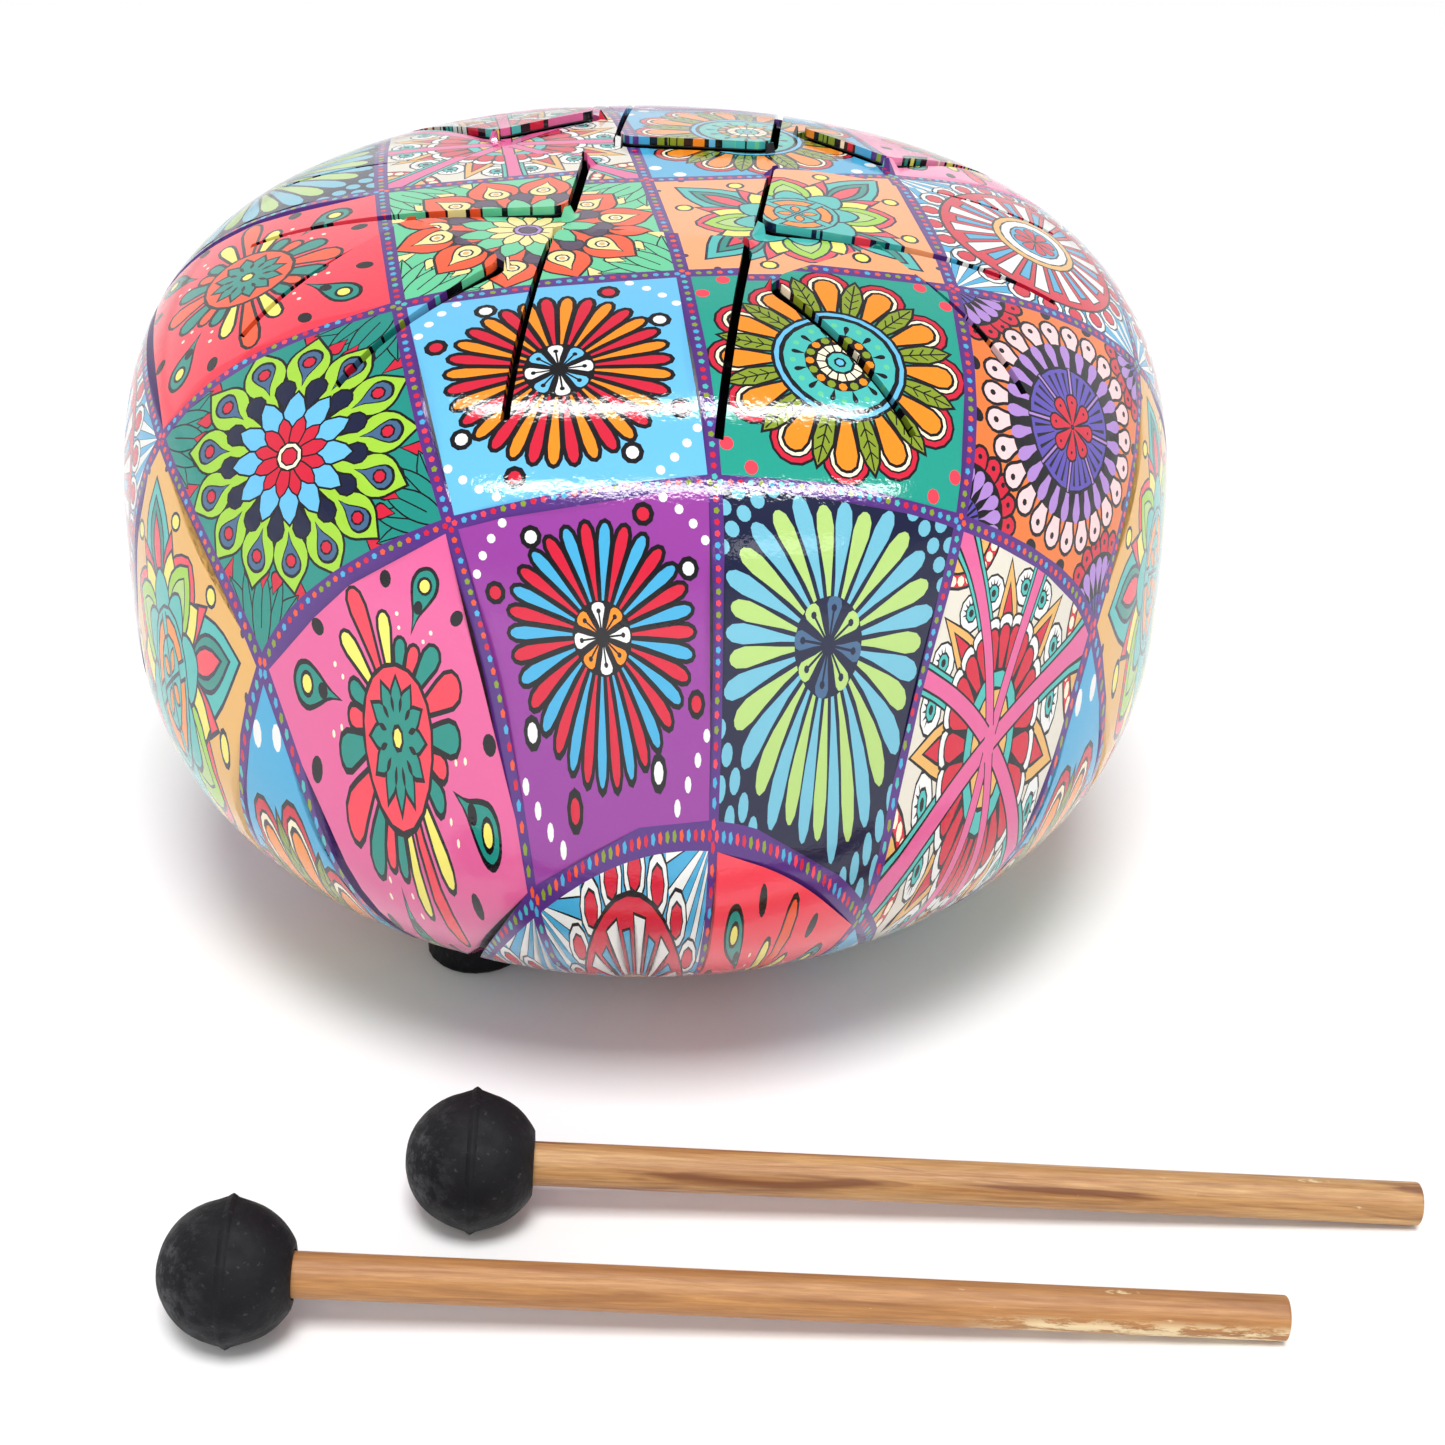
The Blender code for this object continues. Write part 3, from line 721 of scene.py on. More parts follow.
def clip(outline):
    """The part of an outline inside the seam bands, one side after another."""
    for turn in (1, 1j, -1, -1j):
        spun = outline * turn
        if spun.real.max() <= BORDER:
            continue
        kept = []
        for p, q in zip(spun, np.roll(spun, -1)):
            if p.real <= BORDER:
                kept.append(p)
            if (p.real <= BORDER) != (q.real <= BORDER):
                kept.append(p + (q - p) * (BORDER - p.real) / (q.real - p.real))
        if len(kept) < 3:
            return None
        outline = np.array(kept) / turn
    return outline


def turns_left(outline):
    q = np.roll(outline, -1)
    return float((outline.real * q.imag - q.real * outline.imag).sum()) > 0


def seam_shapes(column, row):
    """Bands and dots along the four edges of a square; a dot on an edge has the same ink in both squares."""
    band = np.array([0.5 - SEAM_HALF - 0.5j, 0.5 - 0.5j, 0.5 + 0.5j, 0.5 - SEAM_HALF + 0.5j])
    shapes = [("seam", band * 1j**turn) for turn in range(4)]
    for k in range(SEAM_DOTS):
        along = (k + 0.5) / SEAM_DOTS - 0.5
        for side in range(4):
            where = (0.5 + 1j * along, along + 0.5j, -0.5 + 1j * along, along - 0.5j)[side]
            edge = 7 * (2 * column + (1, 0, -1, 0)[side]) + 11 * (2 * row + (0, -1, 0, 1)[side])
            ink = DOT_INKS[(edge + 5 * k + k * k // 3) % len(DOT_INKS)]
            shapes.append((ink, where + ring(0.0120, 5)))
    return shapes


def sides(triangles):
    """Ends of the triangles' sides: the first side of every triangle, then the second and third sides."""
    return np.stack([triangles[:, [k, (k + 1) % 3]] for k in range(3)])


def edge_keys(ends):
    """One number for each edge, the same from either end."""
    return np.sort(ends, axis=-1) @ np.array([10_000_000, 1])


def shared_sides(triangles):
    """The key of each side, and how many triangles have that side."""
    keys = edge_keys(sides(triangles))
    _, index, counts = np.unique(keys, return_inverse=True, return_counts=True)
    return keys, counts[index].reshape(keys.shape)


def finder(points, triangles):
    """A function that tells which triangle of a flat mesh lies at (x, y), if any does."""
    tree = BVHTree.FromPolygons([(x, y, 0) for x, y in points], triangles.tolist())
    return lambda x, y: tree.ray_cast(Vector((x, y, 1)), Vector((0, 0, -1)))[2]


def ink_borders(triangles, inks):
    """Edges of a triangulation that have one ink on one side and another, or nothing, on the other."""
    pairs = np.sort(sides(triangles).reshape(-1, 2), axis=1)
    owner = np.tile(inks, 3)
    order = np.lexsort((owner, pairs[:, 1], pairs[:, 0]))
    pairs, owner = pairs[order], owner[order]
    alike = (pairs[1:] == pairs[:-1]).all(1) & (owner[1:] == owner[:-1])
    joined = np.zeros(len(pairs), bool)
    joined[1:] |= alike
    joined[:-1] |= alike
    return np.unique(pairs[~joined], axis=0)


def drawn_square(square, column, row, cuts, crossing):
    """The square with every outline laid in it: points, triangles and the ink on top of each."""
    points, faces, inks = [], [], []

    def add(outline, ink):
        if not turns_left(outline):
            outline = outline[::-1]
        faces.append(list(range(len(points), len(points) + len(outline))))
        points.extend(Vector((p.real, p.imag)) for p in outline)
        inks.append(ink)

    side = np.arange(RIM_STEPS) / RIM_STEPS - 0.5
    add(np.concatenate([(0.5 + 1j * side) * 1j**k for k in range(4)]), INK_NUMBER[square.ground])
    for ink, outline in square.shapes:
        inner = clip(outline)
        if inner is not None:
            add(inner, INK_NUMBER[ink])
    for ink, outline in seam_shapes(column, row):
        add(outline, INK_NUMBER[ink])
    for cut in cuts:
        if ((abs(cut.real) < NEARBY) & (abs(cut.imag) < NEARBY)).any():
            add(cut, -1)
    edges = [(len(points) + k, len(points) + k + 1) for k in range(0, len(crossing), 2)]
    flat, _, triangles, _, _, owners = delaunay_2d_cdt(points + crossing, edges, faces, 0, FLAT_GRAIN)
    tops = np.array([inks[max(owner)] if 0 in owner else -1 for owner in owners])
    return flat, np.array(triangles)[tops >= 0], tops[tops >= 0]


def square_mesh(column, row, cuts, lines):
    """Triangles of one printed square: film points, triangles and an ink number for each."""
    centre = column + 0.5 + 1j * (row + 0.5)
    cuts, lines = ([(loop - centre).conjugate() for loop in loops] for loops in (cuts, lines))
    crossing = []
    for line in lines:
        near = (abs(line.real) < 0.55) & (abs(line.imag) < 0.55)
        for k in np.nonzero(near | np.roll(near, -1))[0]:
            crossing += [Vector((p.real, p.imag)) for p in (line[k], line[(k + 1) % len(line)])]
    flat, triangles, tops = drawn_square(MOTIFS[ROWS[row].split()[column % 5]], column, row, cuts, crossing)

    # Once more with only the outlines that show, and with a grid that lets the sheet bend
    borders = ink_borders(triangles, tops)
    used, numbered = np.unique(borders, return_inverse=True)
    points = [flat[k] for k in used]
    edges = [tuple(pair) for pair in numbered.reshape(-1, 2).tolist()]
    edges += [(len(points) + k, len(points) + k + 1) for k in range(0, len(crossing), 2)]
    across = next(count for reach, count in GRIDS if abs(centre) < reach)
    steps = (np.arange(1, across) / across) - 0.5
    grid = [Vector((x, y)) for x in steps for y in steps]
    triangle_at = finder(flat, triangles)
    flat, _, triangles, *_ = delaunay_2d_cdt(points + crossing + grid, edges, [], 0, FLAT_GRAIN)
    kept, names = [], []
    for triangle in triangles:
        hit = triangle_at(*(sum((flat[k] for k in triangle[1:]), flat[triangle[0]]) / 3))
        if hit is not None:
            kept.append(triangle)
            names.append(tops[hit])
    film = np.array([(p.x, -p.y) for p in flat]) + (centre.real, centre.imag)
    return film, np.array(kept), np.array(names)


def covers_drum(column, row):
    """Whether any of this square lies on the drum, above the sound hole."""
    s, t = np.meshgrid(column + np.linspace(0, 1, 9), row + np.linspace(0, 1, 9))
    arc, _ = film_to_sheet(s, t)
    return bool(((np.hypot(s, t) < FILM_REACH) & (arc < PORT_ARC)).any())


def merge(points, triangles):
    """Join points that all but touch, and drop triangles that vanish."""
    tree = KDTree(len(points))
    for k, (x, y) in enumerate(points):
        tree.insert((x, y, 0), k)
    tree.balance()
    target = np.full(len(points), -1)
    for k, (x, y) in enumerate(points):
        if target[k] < 0:
            for _, other, _ in tree.find_range((x, y, 0), JOIN):
                if target[other] < 0:
                    target[other] = k
    used, numbered = np.unique(target, return_inverse=True)
    triangles = numbered[triangles]
    whole = (triangles != np.roll(triangles, 1, axis=1)).all(1)
    return points[used], triangles[whole], whole


def snapped(arc):
    """The same distances, with those that all but lie on the equator or the sound hole moved onto it."""
    for line in (PROFILE.equator, PORT_ARC):
        arc = np.where(abs(arc - line) < 0.01 * MM, line, arc)
    return arc


def wrapped_film():
    """The whole print on the drum: arc, azimuth, triangles and their inks, cut at the equator line."""
    cuts = cut_outlines()
    lines = [round_line(PROFILE.equator), round_line(PORT_ARC)]
    points, triangles, inks, count = [], [], [], 0
    for row in ROWS:
        for column in COLUMNS:
            if covers_drum(column, row):
                film, faces, names = square_mesh(column, row, cuts, lines)
                points.append(film)
                triangles.append(faces + count)
                inks.append(names)
                count += len(film)
    points, triangles, whole = merge(np.concatenate(points), np.concatenate(triangles))
    inks = np.concatenate(inks)[whole]
    _, counts = shared_sides(triangles)
    clean = (counts > 2).sum(0) < 2  # no slivers that lie over their neighbours where two squares meet
    arc, azimuth = film_to_sheet(points[:, 0], points[:, 1])
    return snapped(arc), azimuth, triangles[clean], inks[clean]


def boundary_loops(triangles):
    """Open edges as (start, end, triangle) in the triangles' own direction, and the loops they form."""
    there = {(int(a), int(b)): k for k, (a, b) in enumerate(sides(triangles).reshape(-1, 2))}
    open_edges = [(a, b, k % len(triangles)) for (a, b), k in there.items() if (b, a) not in there]
    after = {a: b for a, b, _ in open_edges}
    loops, left = [], set(after)
    while left:
        loop, here = [], min(left)
        while here in left:
            left.remove(here)
            loop.append(here)
            here = after[here]
        loops.append(loop)
    return open_edges, loops


def inner_sheet(outer, open_edges, loops, span):
    """The sheet's inside: the outside's outlines with only a wide grid between them, unrolled round the pole.

    Gives points, normals, triangles, and which of the points lies under each point of an outline.
    """
    arc, azimuth, triangles = outer
    rim = [k for loop in loops for k in loop]
    unrolled = arc * np.exp(1j * azimuth)
    places, edges, first = [unrolled[k] for k in rim], [], 0
    for loop in loops:
        count = len(loop)
        edges += [(first + k, first + (k + 1) % count) for k in range(count)]
        first += count
    for distance in np.arange(span[0] + 5 * MM, span[1] - 2 * MM, INNER_GRID[0]):
        places += list(ring(distance, max(6, round(TAU * distance / INNER_GRID[1]))))
    points = [Vector((p.real, p.imag)) for p in places]
    flat, _, inner, origins, *_ = delaunay_2d_cdt(points, edges, [], 0, 1e-9)
    flat, inner = np.array([complex(*p) for p in flat]), np.array(inner)
    triangle_at = finder(zip(unrolled.real, unrolled.imag), triangles)
    inner = inner[[triangle_at(c.real, c.imag) is not None for c in flat[inner].mean(1)]]
    inner_arc, inner_azimuth = snapped(abs(flat)), np.angle(flat)
    inside = surface(inner_arc, inner_azimuth, SHEET)
    below = {rim[k]: place for place, old in enumerate(origins) for k in old if k < len(rim)}
    for k, place in below.items():
        inside[place] = surface(arc[k : k + 1], azimuth[k : k + 1], SHEET)[0]
    rim_keys = [edge_keys(np.array([below[a], below[b]])) for a, b, _ in open_edges]
    keys, counts = shared_sides(inner)
    inner = inner[~((counts == 1) & ~np.isin(keys, rim_keys)).any(0)]  # no slivers outside the rim
    return inside, -surface_normals(inner_arc, inner_azimuth), inner[:, ::-1], below


def skin(name, on_dome, film, materials):
    """One shell of the drum as a closed sheet: the printed outside, the bare inside and the sawn edges."""
    arc, azimuth, triangles, inks = film
    start, end = (0, PROFILE.equator) if on_dome else (PROFILE.equator, PORT_ARC)
    middle = arc[triangles].mean(1)
    mine = (middle > start) & (middle < end)
    used, numbered = np.unique(triangles[mine], return_inverse=True)
    triangles, inks = numbered.reshape(-1, 3), inks[mine]
    arc, azimuth = arc[used], azimuth[used]
    open_edges, loops = boundary_loops(triangles)
    outside, normals = surface(arc, azimuth), surface_normals(arc, azimuth)
    outer = (arc, azimuth, triangles)
    inside, inside_normals, inner, below = inner_sheet(outer, open_edges, loops, (start, end))

    # Sawn edges: the print is carried over the lip, and bare steel shows below it
    lips = sorted({a for a, _, _ in open_edges})
    base = len(outside)
    lip_of = {k: base + len(inside) + place for place, k in enumerate(lips)}
    co = np.concatenate([outside, inside, surface(arc[lips], azimuth[lips], LIP_DEPTH)])
    bare = INK_NUMBER["bare"]
    slots, walls = inks.tolist() + [bare] * len(inner), []
    for a, b, owner in open_edges:
        walls += [(b, a, lip_of[a], lip_of[b]), (lip_of[b], lip_of[a], below[a] + base, below[b] + base)]
        slots += [int(inks[owner]), bare]
    mesh = bpy.data.meshes.new(name)
    mesh.from_pydata(co.tolist(), [], triangles.tolist() + (inner + base).tolist() + walls)
    order = {number: k for k, number in enumerate(sorted(set(slots)))}
    for number in order:
        mesh.materials.append(materials[number])
    mesh.polygons.foreach_set("material_index", [order[number] for number in slots])
    mesh.polygons.foreach_set("use_smooth", [True] * len(slots))
    corner_normals = [normals[triangles.ravel()], inside_normals[inner.ravel()]]
    for wall in walls:
        p, q, r, s = (co[k] for k in wall)
        flat_normal = np.cross(r - p, s - q)
        corner_normals.append(np.tile(flat_normal / max(np.linalg.norm(flat_normal), 1e-12), (4, 1)))
    mesh.normals_split_custom_set(np.concatenate(corner_normals).tolist())
    mesh.update()
    return add_object(name, mesh)


# ---------------------------------------------------------------- materials


def add_object(name, data):
    obj = bpy.data.objects.new(name, data)
    bpy.context.scene.collection.objects.link(obj)
    return obj


class Nodes:
    """Short ways to add nodes to a material or a world."""

    def __init__(self, owner, coordinates):
        owner.use_nodes = True
        self.tree = owner.node_tree
        self.place = self.add("TexCoord", coordinates, {})

    def fill(self, node, inputs):
        """Link or set a node's inputs: sockets, numbers or colours by the input's name or number."""
        for name, value in inputs.items():
            if isinstance(value, bpy.types.NodeSocket):
                self.tree.links.new(value, node.inputs[name])
            else:
                node.inputs[name].default_value = value

    def add(self, kind, output, inputs, **settings):
        """One output of a new node."""
        node = self.tree.nodes.new("ShaderNode" + kind)
        for name, value in settings.items():
            setattr(node, name, value)
        self.fill(node, inputs)
        return node.outputs[output]

    def along(self, axis):
        return self.add("SeparateXYZ", axis, {"Vector": self.place})

    def noise(self, scale, detail=3.0, roughness=0.55, distortion=0.0):
        """Noise with one scale, or a scale for each axis."""
        place = self.place
        if isinstance(scale, tuple):
            place, scale = self.add("Mapping", "Vector", {"Vector": place, "Scale": scale}), 1.0
        inputs = {"Vector": place, "Scale": scale, "Detail": detail, "Roughness": roughness}
        return self.add("TexNoise", "Fac", inputs | {"Distortion": distortion})

    def spread(self, value, low, high, to_low=0.0, to_high=1.0, **settings):
        """The value mapped from one range to another and held inside it."""
        inputs = {"Value": value, "From Min": low, "From Max": high, "To Min": to_low, "To Max": to_high}
        return self.add("MapRange", "Result", inputs, **settings)

    def math(self, operation, a, b):
        return self.add("Math", 0, {0: a, 1: b}, operation=operation)

    def blend(self, share, a, b):
        """Mix two colours, each a socket or plain numbers."""
        a, b = ((*colour, 1) if isinstance(colour, tuple) else colour for colour in (a, b))
        return self.add("Mix", 2, {"Factor": share, 6: a, 7: b}, data_type="RGBA")


class Look(Nodes):
    """A material with one Principled shader."""

    def __init__(self, name, colour, roughness, metallic=0.0, coat=0.0, coat_roughness=0.03):
        self.material = bpy.data.materials.new(name)
        super().__init__(self.material, "Object")
        self.material.diffuse_color = (*colour, 1)
        self.wear({"Base Color": (*colour, 1), "Roughness": roughness, "Metallic": metallic})
        self.wear({"Coat Weight": coat, "Coat Roughness": coat_roughness})

    def wear(self, inputs):
        """Set or link inputs of the shader."""
        self.fill(self.tree.nodes["Principled BSDF"], inputs)

    def measure_along(self, matrix):
        """Take texture places in the frame of this matrix from here on."""
        back = matrix.inverted()
        inputs = {"Vector": self.place, "Location": back.to_translation(), "Rotation": back.to_euler()}
        self.place = self.add("Mapping", "Vector", inputs)

    def bump(self, *heights):
        """Bumps one on another, each (height socket, strength, depth in metres)."""
        below = {}
        for height, strength, depth in heights:
            inputs = {"Strength": strength, "Distance": depth, "Height": height}
            below = {"Normal": self.add("Bump", "Normal", inputs | below)}
        self.wear(below)
        return below["Normal"]


def ink_material(name, rgb):
    """Printed film under clear lacquer: fine grain, orange peel and patches of wear."""
    m = Look(f"print_{name}", srgb(*rgb), 0.5, coat=1.0, coat_roughness=0.045)
    waves, peel, grain = m.noise(45, 2.0), m.noise(1000, 2.5, 0.6), m.noise(3600, 2.0)
    normal = m.bump((waves, 0.3, 0.3 * MM), (peel, 0.8, 0.05 * MM), (grain, 0.4, 0.01 * MM))
    m.wear({"Specular IOR Level": 0.04, "Coat IOR": 1.5, "Coat Normal": normal})
    m.wear({"Roughness": m.spread(m.noise(70, 4.0), 0.3, 0.7, 0.38, 0.6)})
    return m.material


def steel_material(name, colour, roughness, scale=(900, 900, 900)):
    """Bare or plated steel with fine marks, which may be stretched, and stains."""
    m = Look(name, colour, roughness, metallic=1.0)
    marks = m.noise(scale, 4.0)
    m.bump((marks, 0.3, 0.05 * MM), (m.noise(60, 3.0), 0.2, 0.4 * MM))
    stain = m.spread(m.noise(35, 5.0, 0.65), 0.42, 0.62)
    m.wear({"Base Color": m.blend(stain, colour, tuple(0.72 * c for c in colour))})
    m.wear({"Roughness": m.spread(marks, 0.3, 0.7, roughness - 0.12, roughness + 0.14)})
    return m.material


def rubber_material(name, own_frame=None):
    """Matt black moulded rubber. A mallet head has its own frame, and grey specks on its far end that are
    partly dust and partly painted sheen where its rim catches the light.
    """
    dark, dusty = srgb(12, 12, 17), srgb(92, 92, 96)
    m = Look(name, dark, 0.62)
    if own_frame:
        m.measure_along(own_frame)
    specks = m.spread(m.noise(900, 5.0, 0.7), 0.60, 0.74, 0.0, 0.6)
    if own_frame:
        # Greyer specks towards the head's far end: some dust, and a painted sheen on the rim where the light
        # catches it
        far_end_dust_and_sheen = m.spread(m.along("Z"), -2 * MM, -12 * MM)
        dust_and_sheen_scuff = m.math("MULTIPLY", m.spread(m.noise(330, 6.0, 0.75), 0.47, 0.66), far_end_dust_and_sheen)
        specks = m.math("MAXIMUM", m.math("MULTIPLY", specks, 0.7), m.math("MULTIPLY", dust_and_sheen_scuff, 0.8))
    lumps, pores = m.noise(240, 4.0, 0.6), m.noise(1500, 3.0)
    m.bump((lumps, 0.6, 0.4 * MM), (pores, 0.6, 0.12 * MM))
    m.wear({"Specular IOR Level": 0.22, "Base Color": m.blend(specks, dark, dusty)})
    m.wear({"Roughness": m.spread(lumps, 0.3, 0.7, 0.5, 0.78)})
    return m.material


def wood_material(name, streaky, chipped, own_frame):
    """Turned light wood under thin lacquer, its length along the Z of its own frame."""
    pale, brown, tan = srgb(208, 164, 104), srgb(168, 114, 62), srgb(192, 138, 78)
    deep, bare = srgb(110, 60, 30), srgb(226, 202, 158)
    m = Look(name, brown, 0.5, coat=0.1, coat_roughness=0.3)
    m.measure_along(own_frame)
    fibre = m.noise((1900, 1900, 110), 5.0, 0.7)
    grain = m.noise((420, 420, 16), 4.0, 0.6, 1.2)
    figure = m.noise((150, 150, 13), 3.0, 0.55, 2.2)
    first, second, dark_at, dark = (pale, brown, 0.64, 0.85) if streaky else (brown, tan, 0.76, 0.7)
    colour = m.blend(m.spread(grain, 0.34, 0.66), first, second)
    colour = m.blend(m.spread(figure, 0.53, dark_at, 0.0, dark), colour, deep)
    colour = m.blend(m.spread(fibre, 0.35, 0.72, 0.0, 0.5), colour, deep)
    worn = m.spread(m.noise((190, 190, 75), 4.0, 0.6), 0.66, 0.70)
    if chipped:
        near_end = m.spread(m.along("Z"), 118 * MM, 132 * MM)
        low_side = m.spread(m.along("X"), -0.6 * MM, -2.2 * MM)
        ragged = m.spread(m.noise((520, 520, 120), 6.0, 0.75), 0.46, 0.53)
        worn = m.math("MAXIMUM", worn, m.math("MULTIPLY", m.math("MULTIPLY", near_end, low_side), ragged))
    hollows = m.math("MULTIPLY", worn, -1.0)
    m.bump((hollows, 0.5, 0.12 * MM), (fibre, 0.35, 0.1 * MM), (m.noise(90, 2.0), 0.3, 0.6 * MM))
    m.wear({"Base Color": m.blend(worn, colour, bare), "Roughness": m.spread(fibre, 0.3, 0.7, 0.44, 0.66)})
    return m.material


# ---------------------------------------------------------------- the drum

film = wrapped_film()
materials = [ink_material(name, rgb) for name, rgb in INKS.items()]
materials.append(steel_material("bare_steel_inside", srgb(96, 97, 100), 0.45))
for node, on_dome in (("upper_shell", True), ("lower_shell", False)):
    piece = skin(f"{node}_skin", on_dome, film, materials)
    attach(piece, "drum")
    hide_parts(node)

looks = {
    "seam_weld": steel_material("weld_bead", srgb(120, 120, 124), 0.5, (1500, 1500, 4000)),
    "foot": rubber_material("foot_rubber"),
    "foot_washer": steel_material("zinc_washer", srgb(190, 192, 196), 0.3, (700, 700, 700)),
    "foot_screw": steel_material("zinc_screw", srgb(196, 198, 202), 0.28, (600, 600, 3000)),
    "foot_nut": steel_material("zinc_nut", srgb(184, 186, 190), 0.32),
}
for name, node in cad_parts.items():
    family = name.rsplit("_", 1)[0] if name.startswith("foot") else name
    if family in looks:
        node.data.materials.clear()
        node.data.materials.append(looks[family])

# ---------------------------------------------------------------- mallets

MALLETS = {  # head centre in plan from the drum's axis, heading in degrees, head centre to handle end
    "near": ((-66.8 * MM, -142.2 * MM), -0.7, 172.8 * MM),
    "far": ((-29.1 * MM, -114.6 * MM), -0.5, 164.2 * MM),
}
HANDLE_RADIUS = 3.85 * MM
HEAD_RADIUS = 11.75 * MM
FACE_RADIUS = 5.6 * MM
RIDGE_HEIGHT = 0.25 * MM
RIDGE_HALF = 0.75 * MM  # half the ridge's width
NUB_HEIGHT = 0.7 * MM
NUB_HALF = 3.4 * MM  # half a nub's length along the handle
NUB_LEAN = math.radians(33)
BORE_END = -4.0 * MM
BORE_PLAY = 0.3 * MM
EASE = 0.45 * MM  # how far the handle's edges are rounded
CHIPS_START = 125 * MM  # the near handle is chipped from here to its end


def mallet_frame(label):
    """Matrix with its origin in the head's middle, Z along the handle and X towards the upper nub."""
    (x, y), azimuth, reach = MALLETS[label]
    rest, a = HEAD_RADIUS + RIDGE_HEIGHT, math.radians(azimuth)
    droop = math.asin((rest - HANDLE_RADIUS) / reach)
    along = Vector((math.cos(a) * math.cos(droop), math.sin(a) * math.cos(droop), -math.sin(droop)))
    up = Vector((0, math.sin(NUB_LEAN), math.cos(NUB_LEAN)))
    up = (up - up.dot(along) * along).normalized()
    matrix = Matrix((up, along.cross(up), along)).transposed().to_4x4()
    matrix.translation = (AXIS[0] + x, AXIS[1] + y, rest)
    return matrix


def turned(name, section, sides, material, matrix, reshape):
    """Closed piece spun round Z from (radius, height) points that start and end on the axis."""
    bm = bmesh.new()
    rings = []
    for radius, height in section:
        turns = [TAU * k / sides for k in range(sides if radius else 1)]
        places = [Vector((radius * math.cos(a), radius * math.sin(a), height)) for a in turns]
        rings.append([bm.verts.new(reshape(place)) for place in places])
    for lower, upper in zip(rings, rings[1:]):
        for k in range(sides):
            n = (k + 1) % sides
            quad = [lower[k % len(lower)], lower[n % len(lower)]]
            quad += [upper[n % len(upper)], upper[k % len(upper)]]
            bm.faces.new(list(dict.fromkeys(quad)))
    bmesh.ops.recalc_face_normals(bm, faces=bm.faces)
    mesh = bpy.data.meshes.new(name)
    bm.to_mesh(mesh)
    bm.free()
    mesh.transform(matrix)
    mesh.shade_smooth()
    mesh.set_sharp_from_angle(angle=math.radians(40))
    mesh.materials.append(material)
    return add_object(name, mesh)


def wobble(place, size, seed):
    return noise.noise(place / size + Vector((seed, 0, 0)))


def build_head(label, seed):
    """Ball with a blind bore, a flat face, a rounded mould ridge and two pointed nubs."""
    face_angle = math.asin(FACE_RADIUS / HEAD_RADIUS)
    bore = HANDLE_RADIUS + BORE_PLAY
    section = [(0, BORE_END), (bore, BORE_END), (bore, HEAD_RADIUS * math.cos(face_angle))]
    angles = [np.linspace(face_angle, math.radians(83), 26)]
    angles += [np.radians(np.linspace(84, 97, 27)), np.radians(np.linspace(99, 178, 36))]
    section += [(HEAD_RADIUS * math.sin(a), HEAD_RADIUS * math.cos(a)) for a in np.concatenate(angles)]
    section.append((0, -HEAD_RADIUS))

    def reshape(co):
        if co.length < HEAD_RADIUS - 0.01 * MM:
            return co
        unit = co.normalized()
        ridge = max(0.0, 1 - abs(co.z) / RIDGE_HALF) ** 0.6
        nub = 0.0
        if abs(unit.x) > 0.7:
            nub = max(0.0, 1 - abs(unit.y) / 0.30) ** 1.4 * max(0.0, 1 - abs(co.z) / NUB_HALF) ** 1.5
        dents = 0.10 * MM * (wobble(co, 5 * MM, seed) - 0.9) + 0.025 * MM * wobble(co, 1.1 * MM, seed)
        line = RIDGE_HEIGHT * ridge * (0.84 + 0.15 * wobble(co, 2 * MM, seed))
        return co + unit * (line + nub * NUB_HEIGHT + dents * (1 - ridge))

    rubber = rubber_material(f"mallet_rubber_{label}", mallet_frame(label))
    return turned(f"mallet_{label}_head_ball", section, 144, rubber, mallet_frame(label), reshape)


def build_handle(label, seed, streaky, chipped):
    """Turned stick with eased ends that are a little worn, and tool marks along it."""
    start, reach = BORE_END + BORE_PLAY, MALLETS[label][2]
    section = [(0, start), (HANDLE_RADIUS - EASE, start), (HANDLE_RADIUS, start + EASE)]
    section += [(HANDLE_RADIUS, z) for z in np.linspace(start + 1.2 * MM, reach - 1.2 * MM, 190)]
    turns = [math.radians(22.5 * k) for k in range(5)]
    section += [(HANDLE_RADIUS - EASE + EASE * math.cos(a), reach - EASE + EASE * math.sin(a)) for a in turns]
    section += [(share * HANDLE_RADIUS, reach) for share in (0.75, 0.5, 0.25, 0)]

    def reshape(co):
        side = Vector((co.x, co.y, 0))
        if side.length < 0.1 * MM:
            return co

        def marks(squeeze, size, seed):
            return wobble(Vector((co.x, co.y, co.z / squeeze)), size, seed)

        worn = 0.07 * MM * (marks(6, 6 * MM, seed) - 0.8) + 0.02 * MM * (marks(12, 1.2 * MM, seed) - 0.8)
        if chipped and co.z > CHIPS_START and co.x < -0.5 * MM:
            worn -= 0.10 * MM * max(0.0, marks(3, 2.2 * MM, seed + 5))
        return co + side.normalized() * worn * side.length / HANDLE_RADIUS

    wood = wood_material(f"wood_{label}", streaky, chipped, mallet_frame(label))
    return turned(f"mallet_{label}_handle_stick", section, 64, wood, mallet_frame(label), reshape)


for label, seed, streaky, chipped in (("near", 3.0, False, True), ("far", 8.0, True, False)):
    head, handle = build_head(label, seed), build_handle(label, seed, streaky, chipped)
    for piece, node, slot in ((head, "head", "black_rubber"), (handle, "handle", "lacquered_wood")):
        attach(piece, f"{label}_mallet")
        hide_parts(f"mallet_{label}_{node}")

# ---------------------------------------------------------------- floor, lights and camera

mesh = bpy.data.meshes.new("floor")
mesh.from_pydata([(-6, -6, 0), (6, -6, 0), (6, 6, 0), (-6, 6, 0)], [], [(0, 1, 2, 3)])
paper = Look("paper_floor", (0.93, 0.93, 0.93), 0.9)
paper.bump((paper.noise(400, 3.0), 0.05, 0.1 * MM))
mesh.materials.append(paper.material)
floor = add_object("floor", mesh)


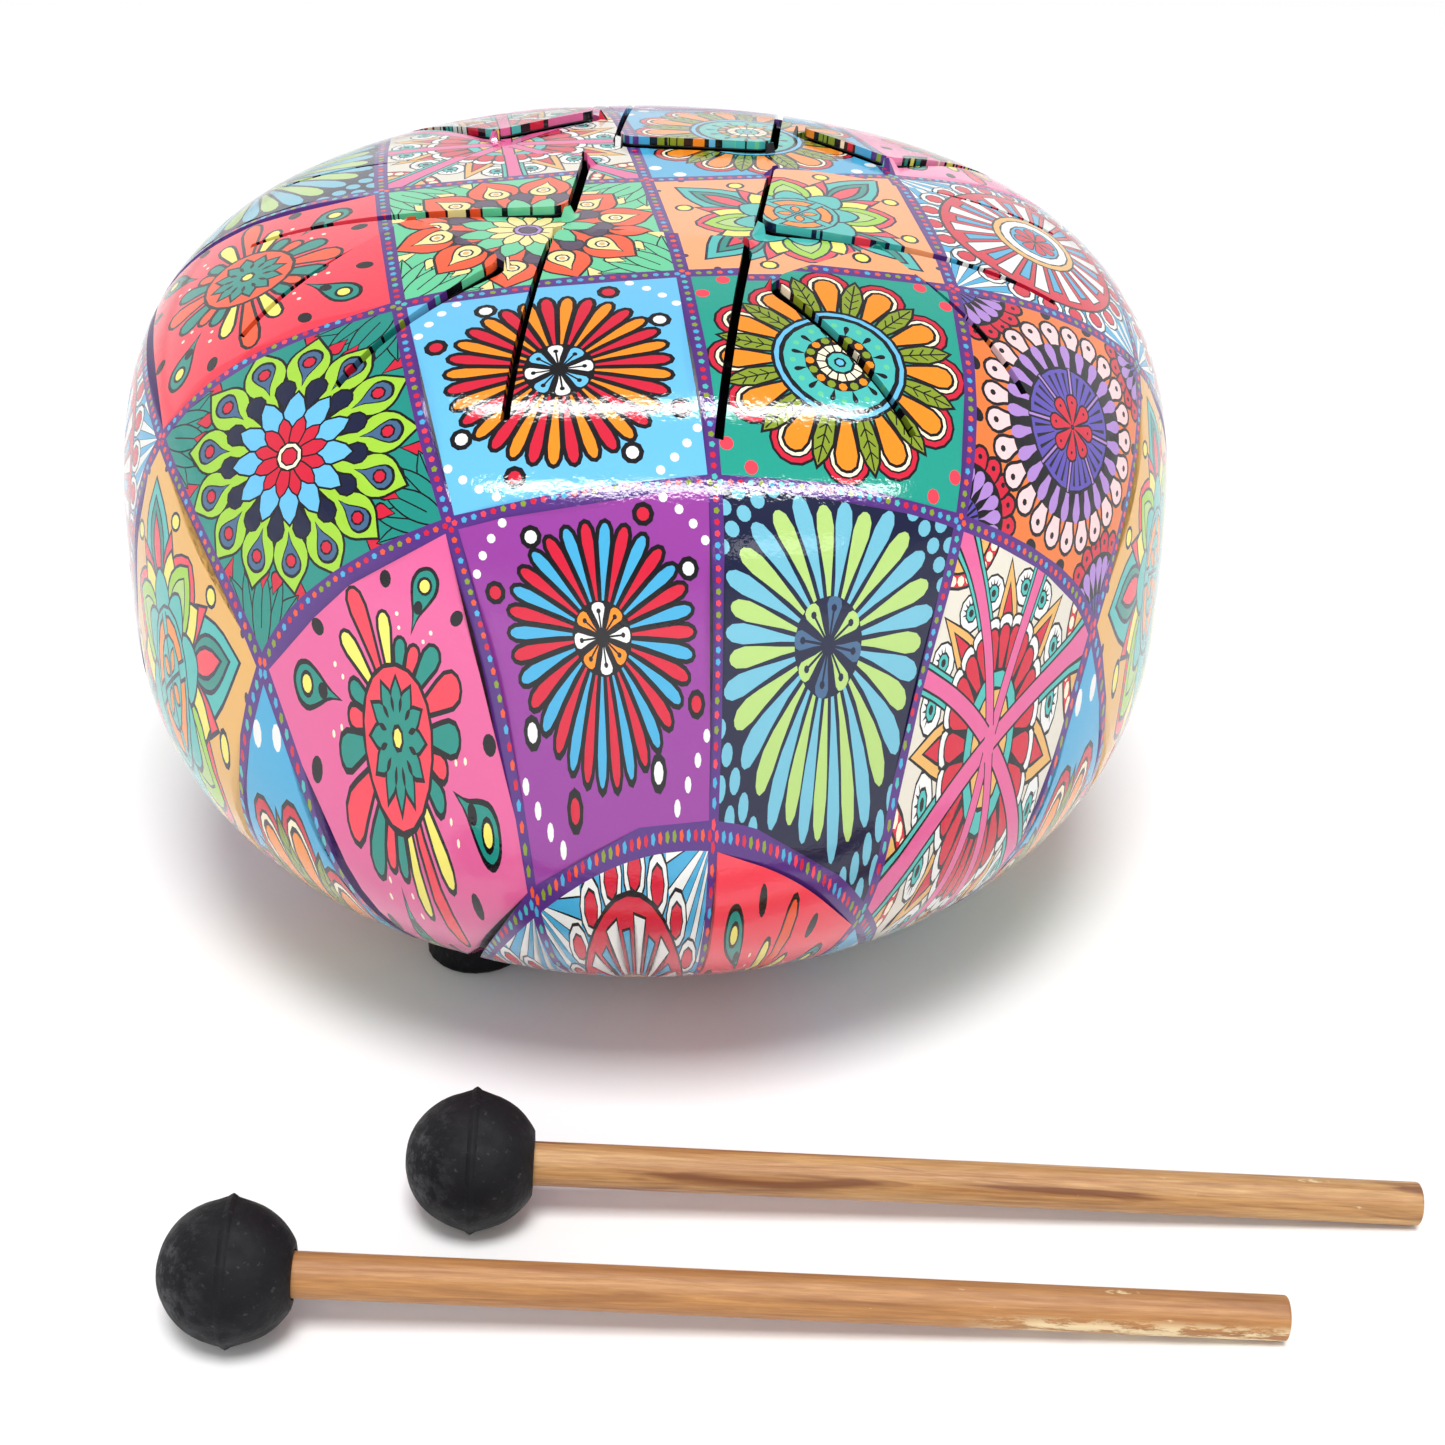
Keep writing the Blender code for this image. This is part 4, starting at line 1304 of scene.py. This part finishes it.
def studio_world():
    """Pale room: bright low behind the drum, dimmer overhead and behind the camera."""
    world = bpy.data.worlds.new("studio")
    room = Nodes(world, "Generated")
    smooth = {"interpolation_type": "SMOOTHSTEP"}
    behind = room.spread(room.along("Y"), -0.5, 0.6, 0.0, 0.75, **smooth)
    low_down = room.spread(room.along("Z"), 0.3, 0.85, 1.0, 0.0, **smooth)
    horizon = room.spread(room.along("Z"), 0.02, 0.30, 0.66, 0.0, **smooth)
    glow = room.math("MAXIMUM", room.math("MULTIPLY", behind, low_down), horizon)
    everywhere = room.math("ADD", glow, 0.28)
    room.fill(room.tree.nodes["Background"], {"Color": (1, 1, 1, 1), "Strength": everywhere})
    return world


def lamp(name, place, turn, width, height, power):
    """A rectangular light."""
    light = bpy.data.lights.new(name, "AREA")
    light.shape = "RECTANGLE"
    light.size, light.size_y, light.energy = width, height, power
    obj = add_object(name, light)
    obj.location, obj.rotation_euler = place, turn
    return obj


def soft_box(name, elevation, distance, width, height, power):
    """A light on the camera's side that faces the drum and isn't seen in the lacquer."""
    e = math.radians(elevation)
    away = Vector((0, -math.cos(e), math.sin(e)))
    place = Vector((AXIS[0], AXIS[1], 0.1)) + away * distance
    turn = (-away).to_track_quat("-Z", "Y").to_euler()
    lamp(name, place, turn, width, height, power).visible_glossy = False


def strip_light(name, left, right, behind, height, thickness, glow):
    """A narrow lamp along X, placed from the drum's front shoulder; it shows only in the lacquer."""
    shoulder = Vector((AXIS[0], AXIS[1] - 0.06, 0.13))
    place = shoulder + Vector(((left + right) / 2, behind, height))
    turn = (math.atan2(-behind, height), 0, 0)
    power = glow * math.pi * (right - left) * thickness
    lamp(name, place, turn, right - left, thickness, power).visible_diffuse = False


bpy.context.scene.world = studio_world()
bpy.context.scene.view_settings.view_transform = "Standard"
soft_box("overhead", 66, 4.5, 1.5, 1.5, 176)
soft_box("front_fill", 32, 2.5, 2.4, 1.2, 13)
strip_light("strip_above", -0.55, 0.71, 0.08, 1.2, 0.12, 26)
strip_light("strip_front", -0.86, 1.68, -0.9, 1.2, 0.13, 26)
strip_light("window", 0.40, 1.15, -1.29, 0.6, 0.16, 3)

CAMERA_DISTANCE = 514.65 * MM
CAMERA_ELEVATION = math.radians(26.717)
CAMERA_YAW, CAMERA_PITCH, CAMERA_ROLL = 0.02936, -0.06451, 0.02384  # away from the drum's middle, in radians
back = Vector((0, -math.cos(CAMERA_ELEVATION), math.sin(CAMERA_ELEVATION)))
right = Vector((1, 0, 0))
forward = -back + math.tan(CAMERA_YAW) * right + math.tan(CAMERA_PITCH) * right.cross(-back)
forward.normalize()
right = forward.cross(Vector((0, 0, 1))).normalized()
above = right.cross(forward)
turned_right = math.cos(CAMERA_ROLL) * right + math.sin(CAMERA_ROLL) * above
turned_above = math.cos(CAMERA_ROLL) * above - math.sin(CAMERA_ROLL) * right
data = bpy.data.cameras.new("camera")
data.lens, data.sensor_width = 64.5, 36
data.clip_start, data.clip_end = 0.01, 50
camera = add_object("camera", data)
camera.matrix_world = Matrix((turned_right, turned_above, -forward)).transposed().to_4x4()
camera.location = Vector((AXIS[0], AXIS[1], EQUATOR_Z)) + back * CAMERA_DISTANCE
bpy.context.scene.camera = camera
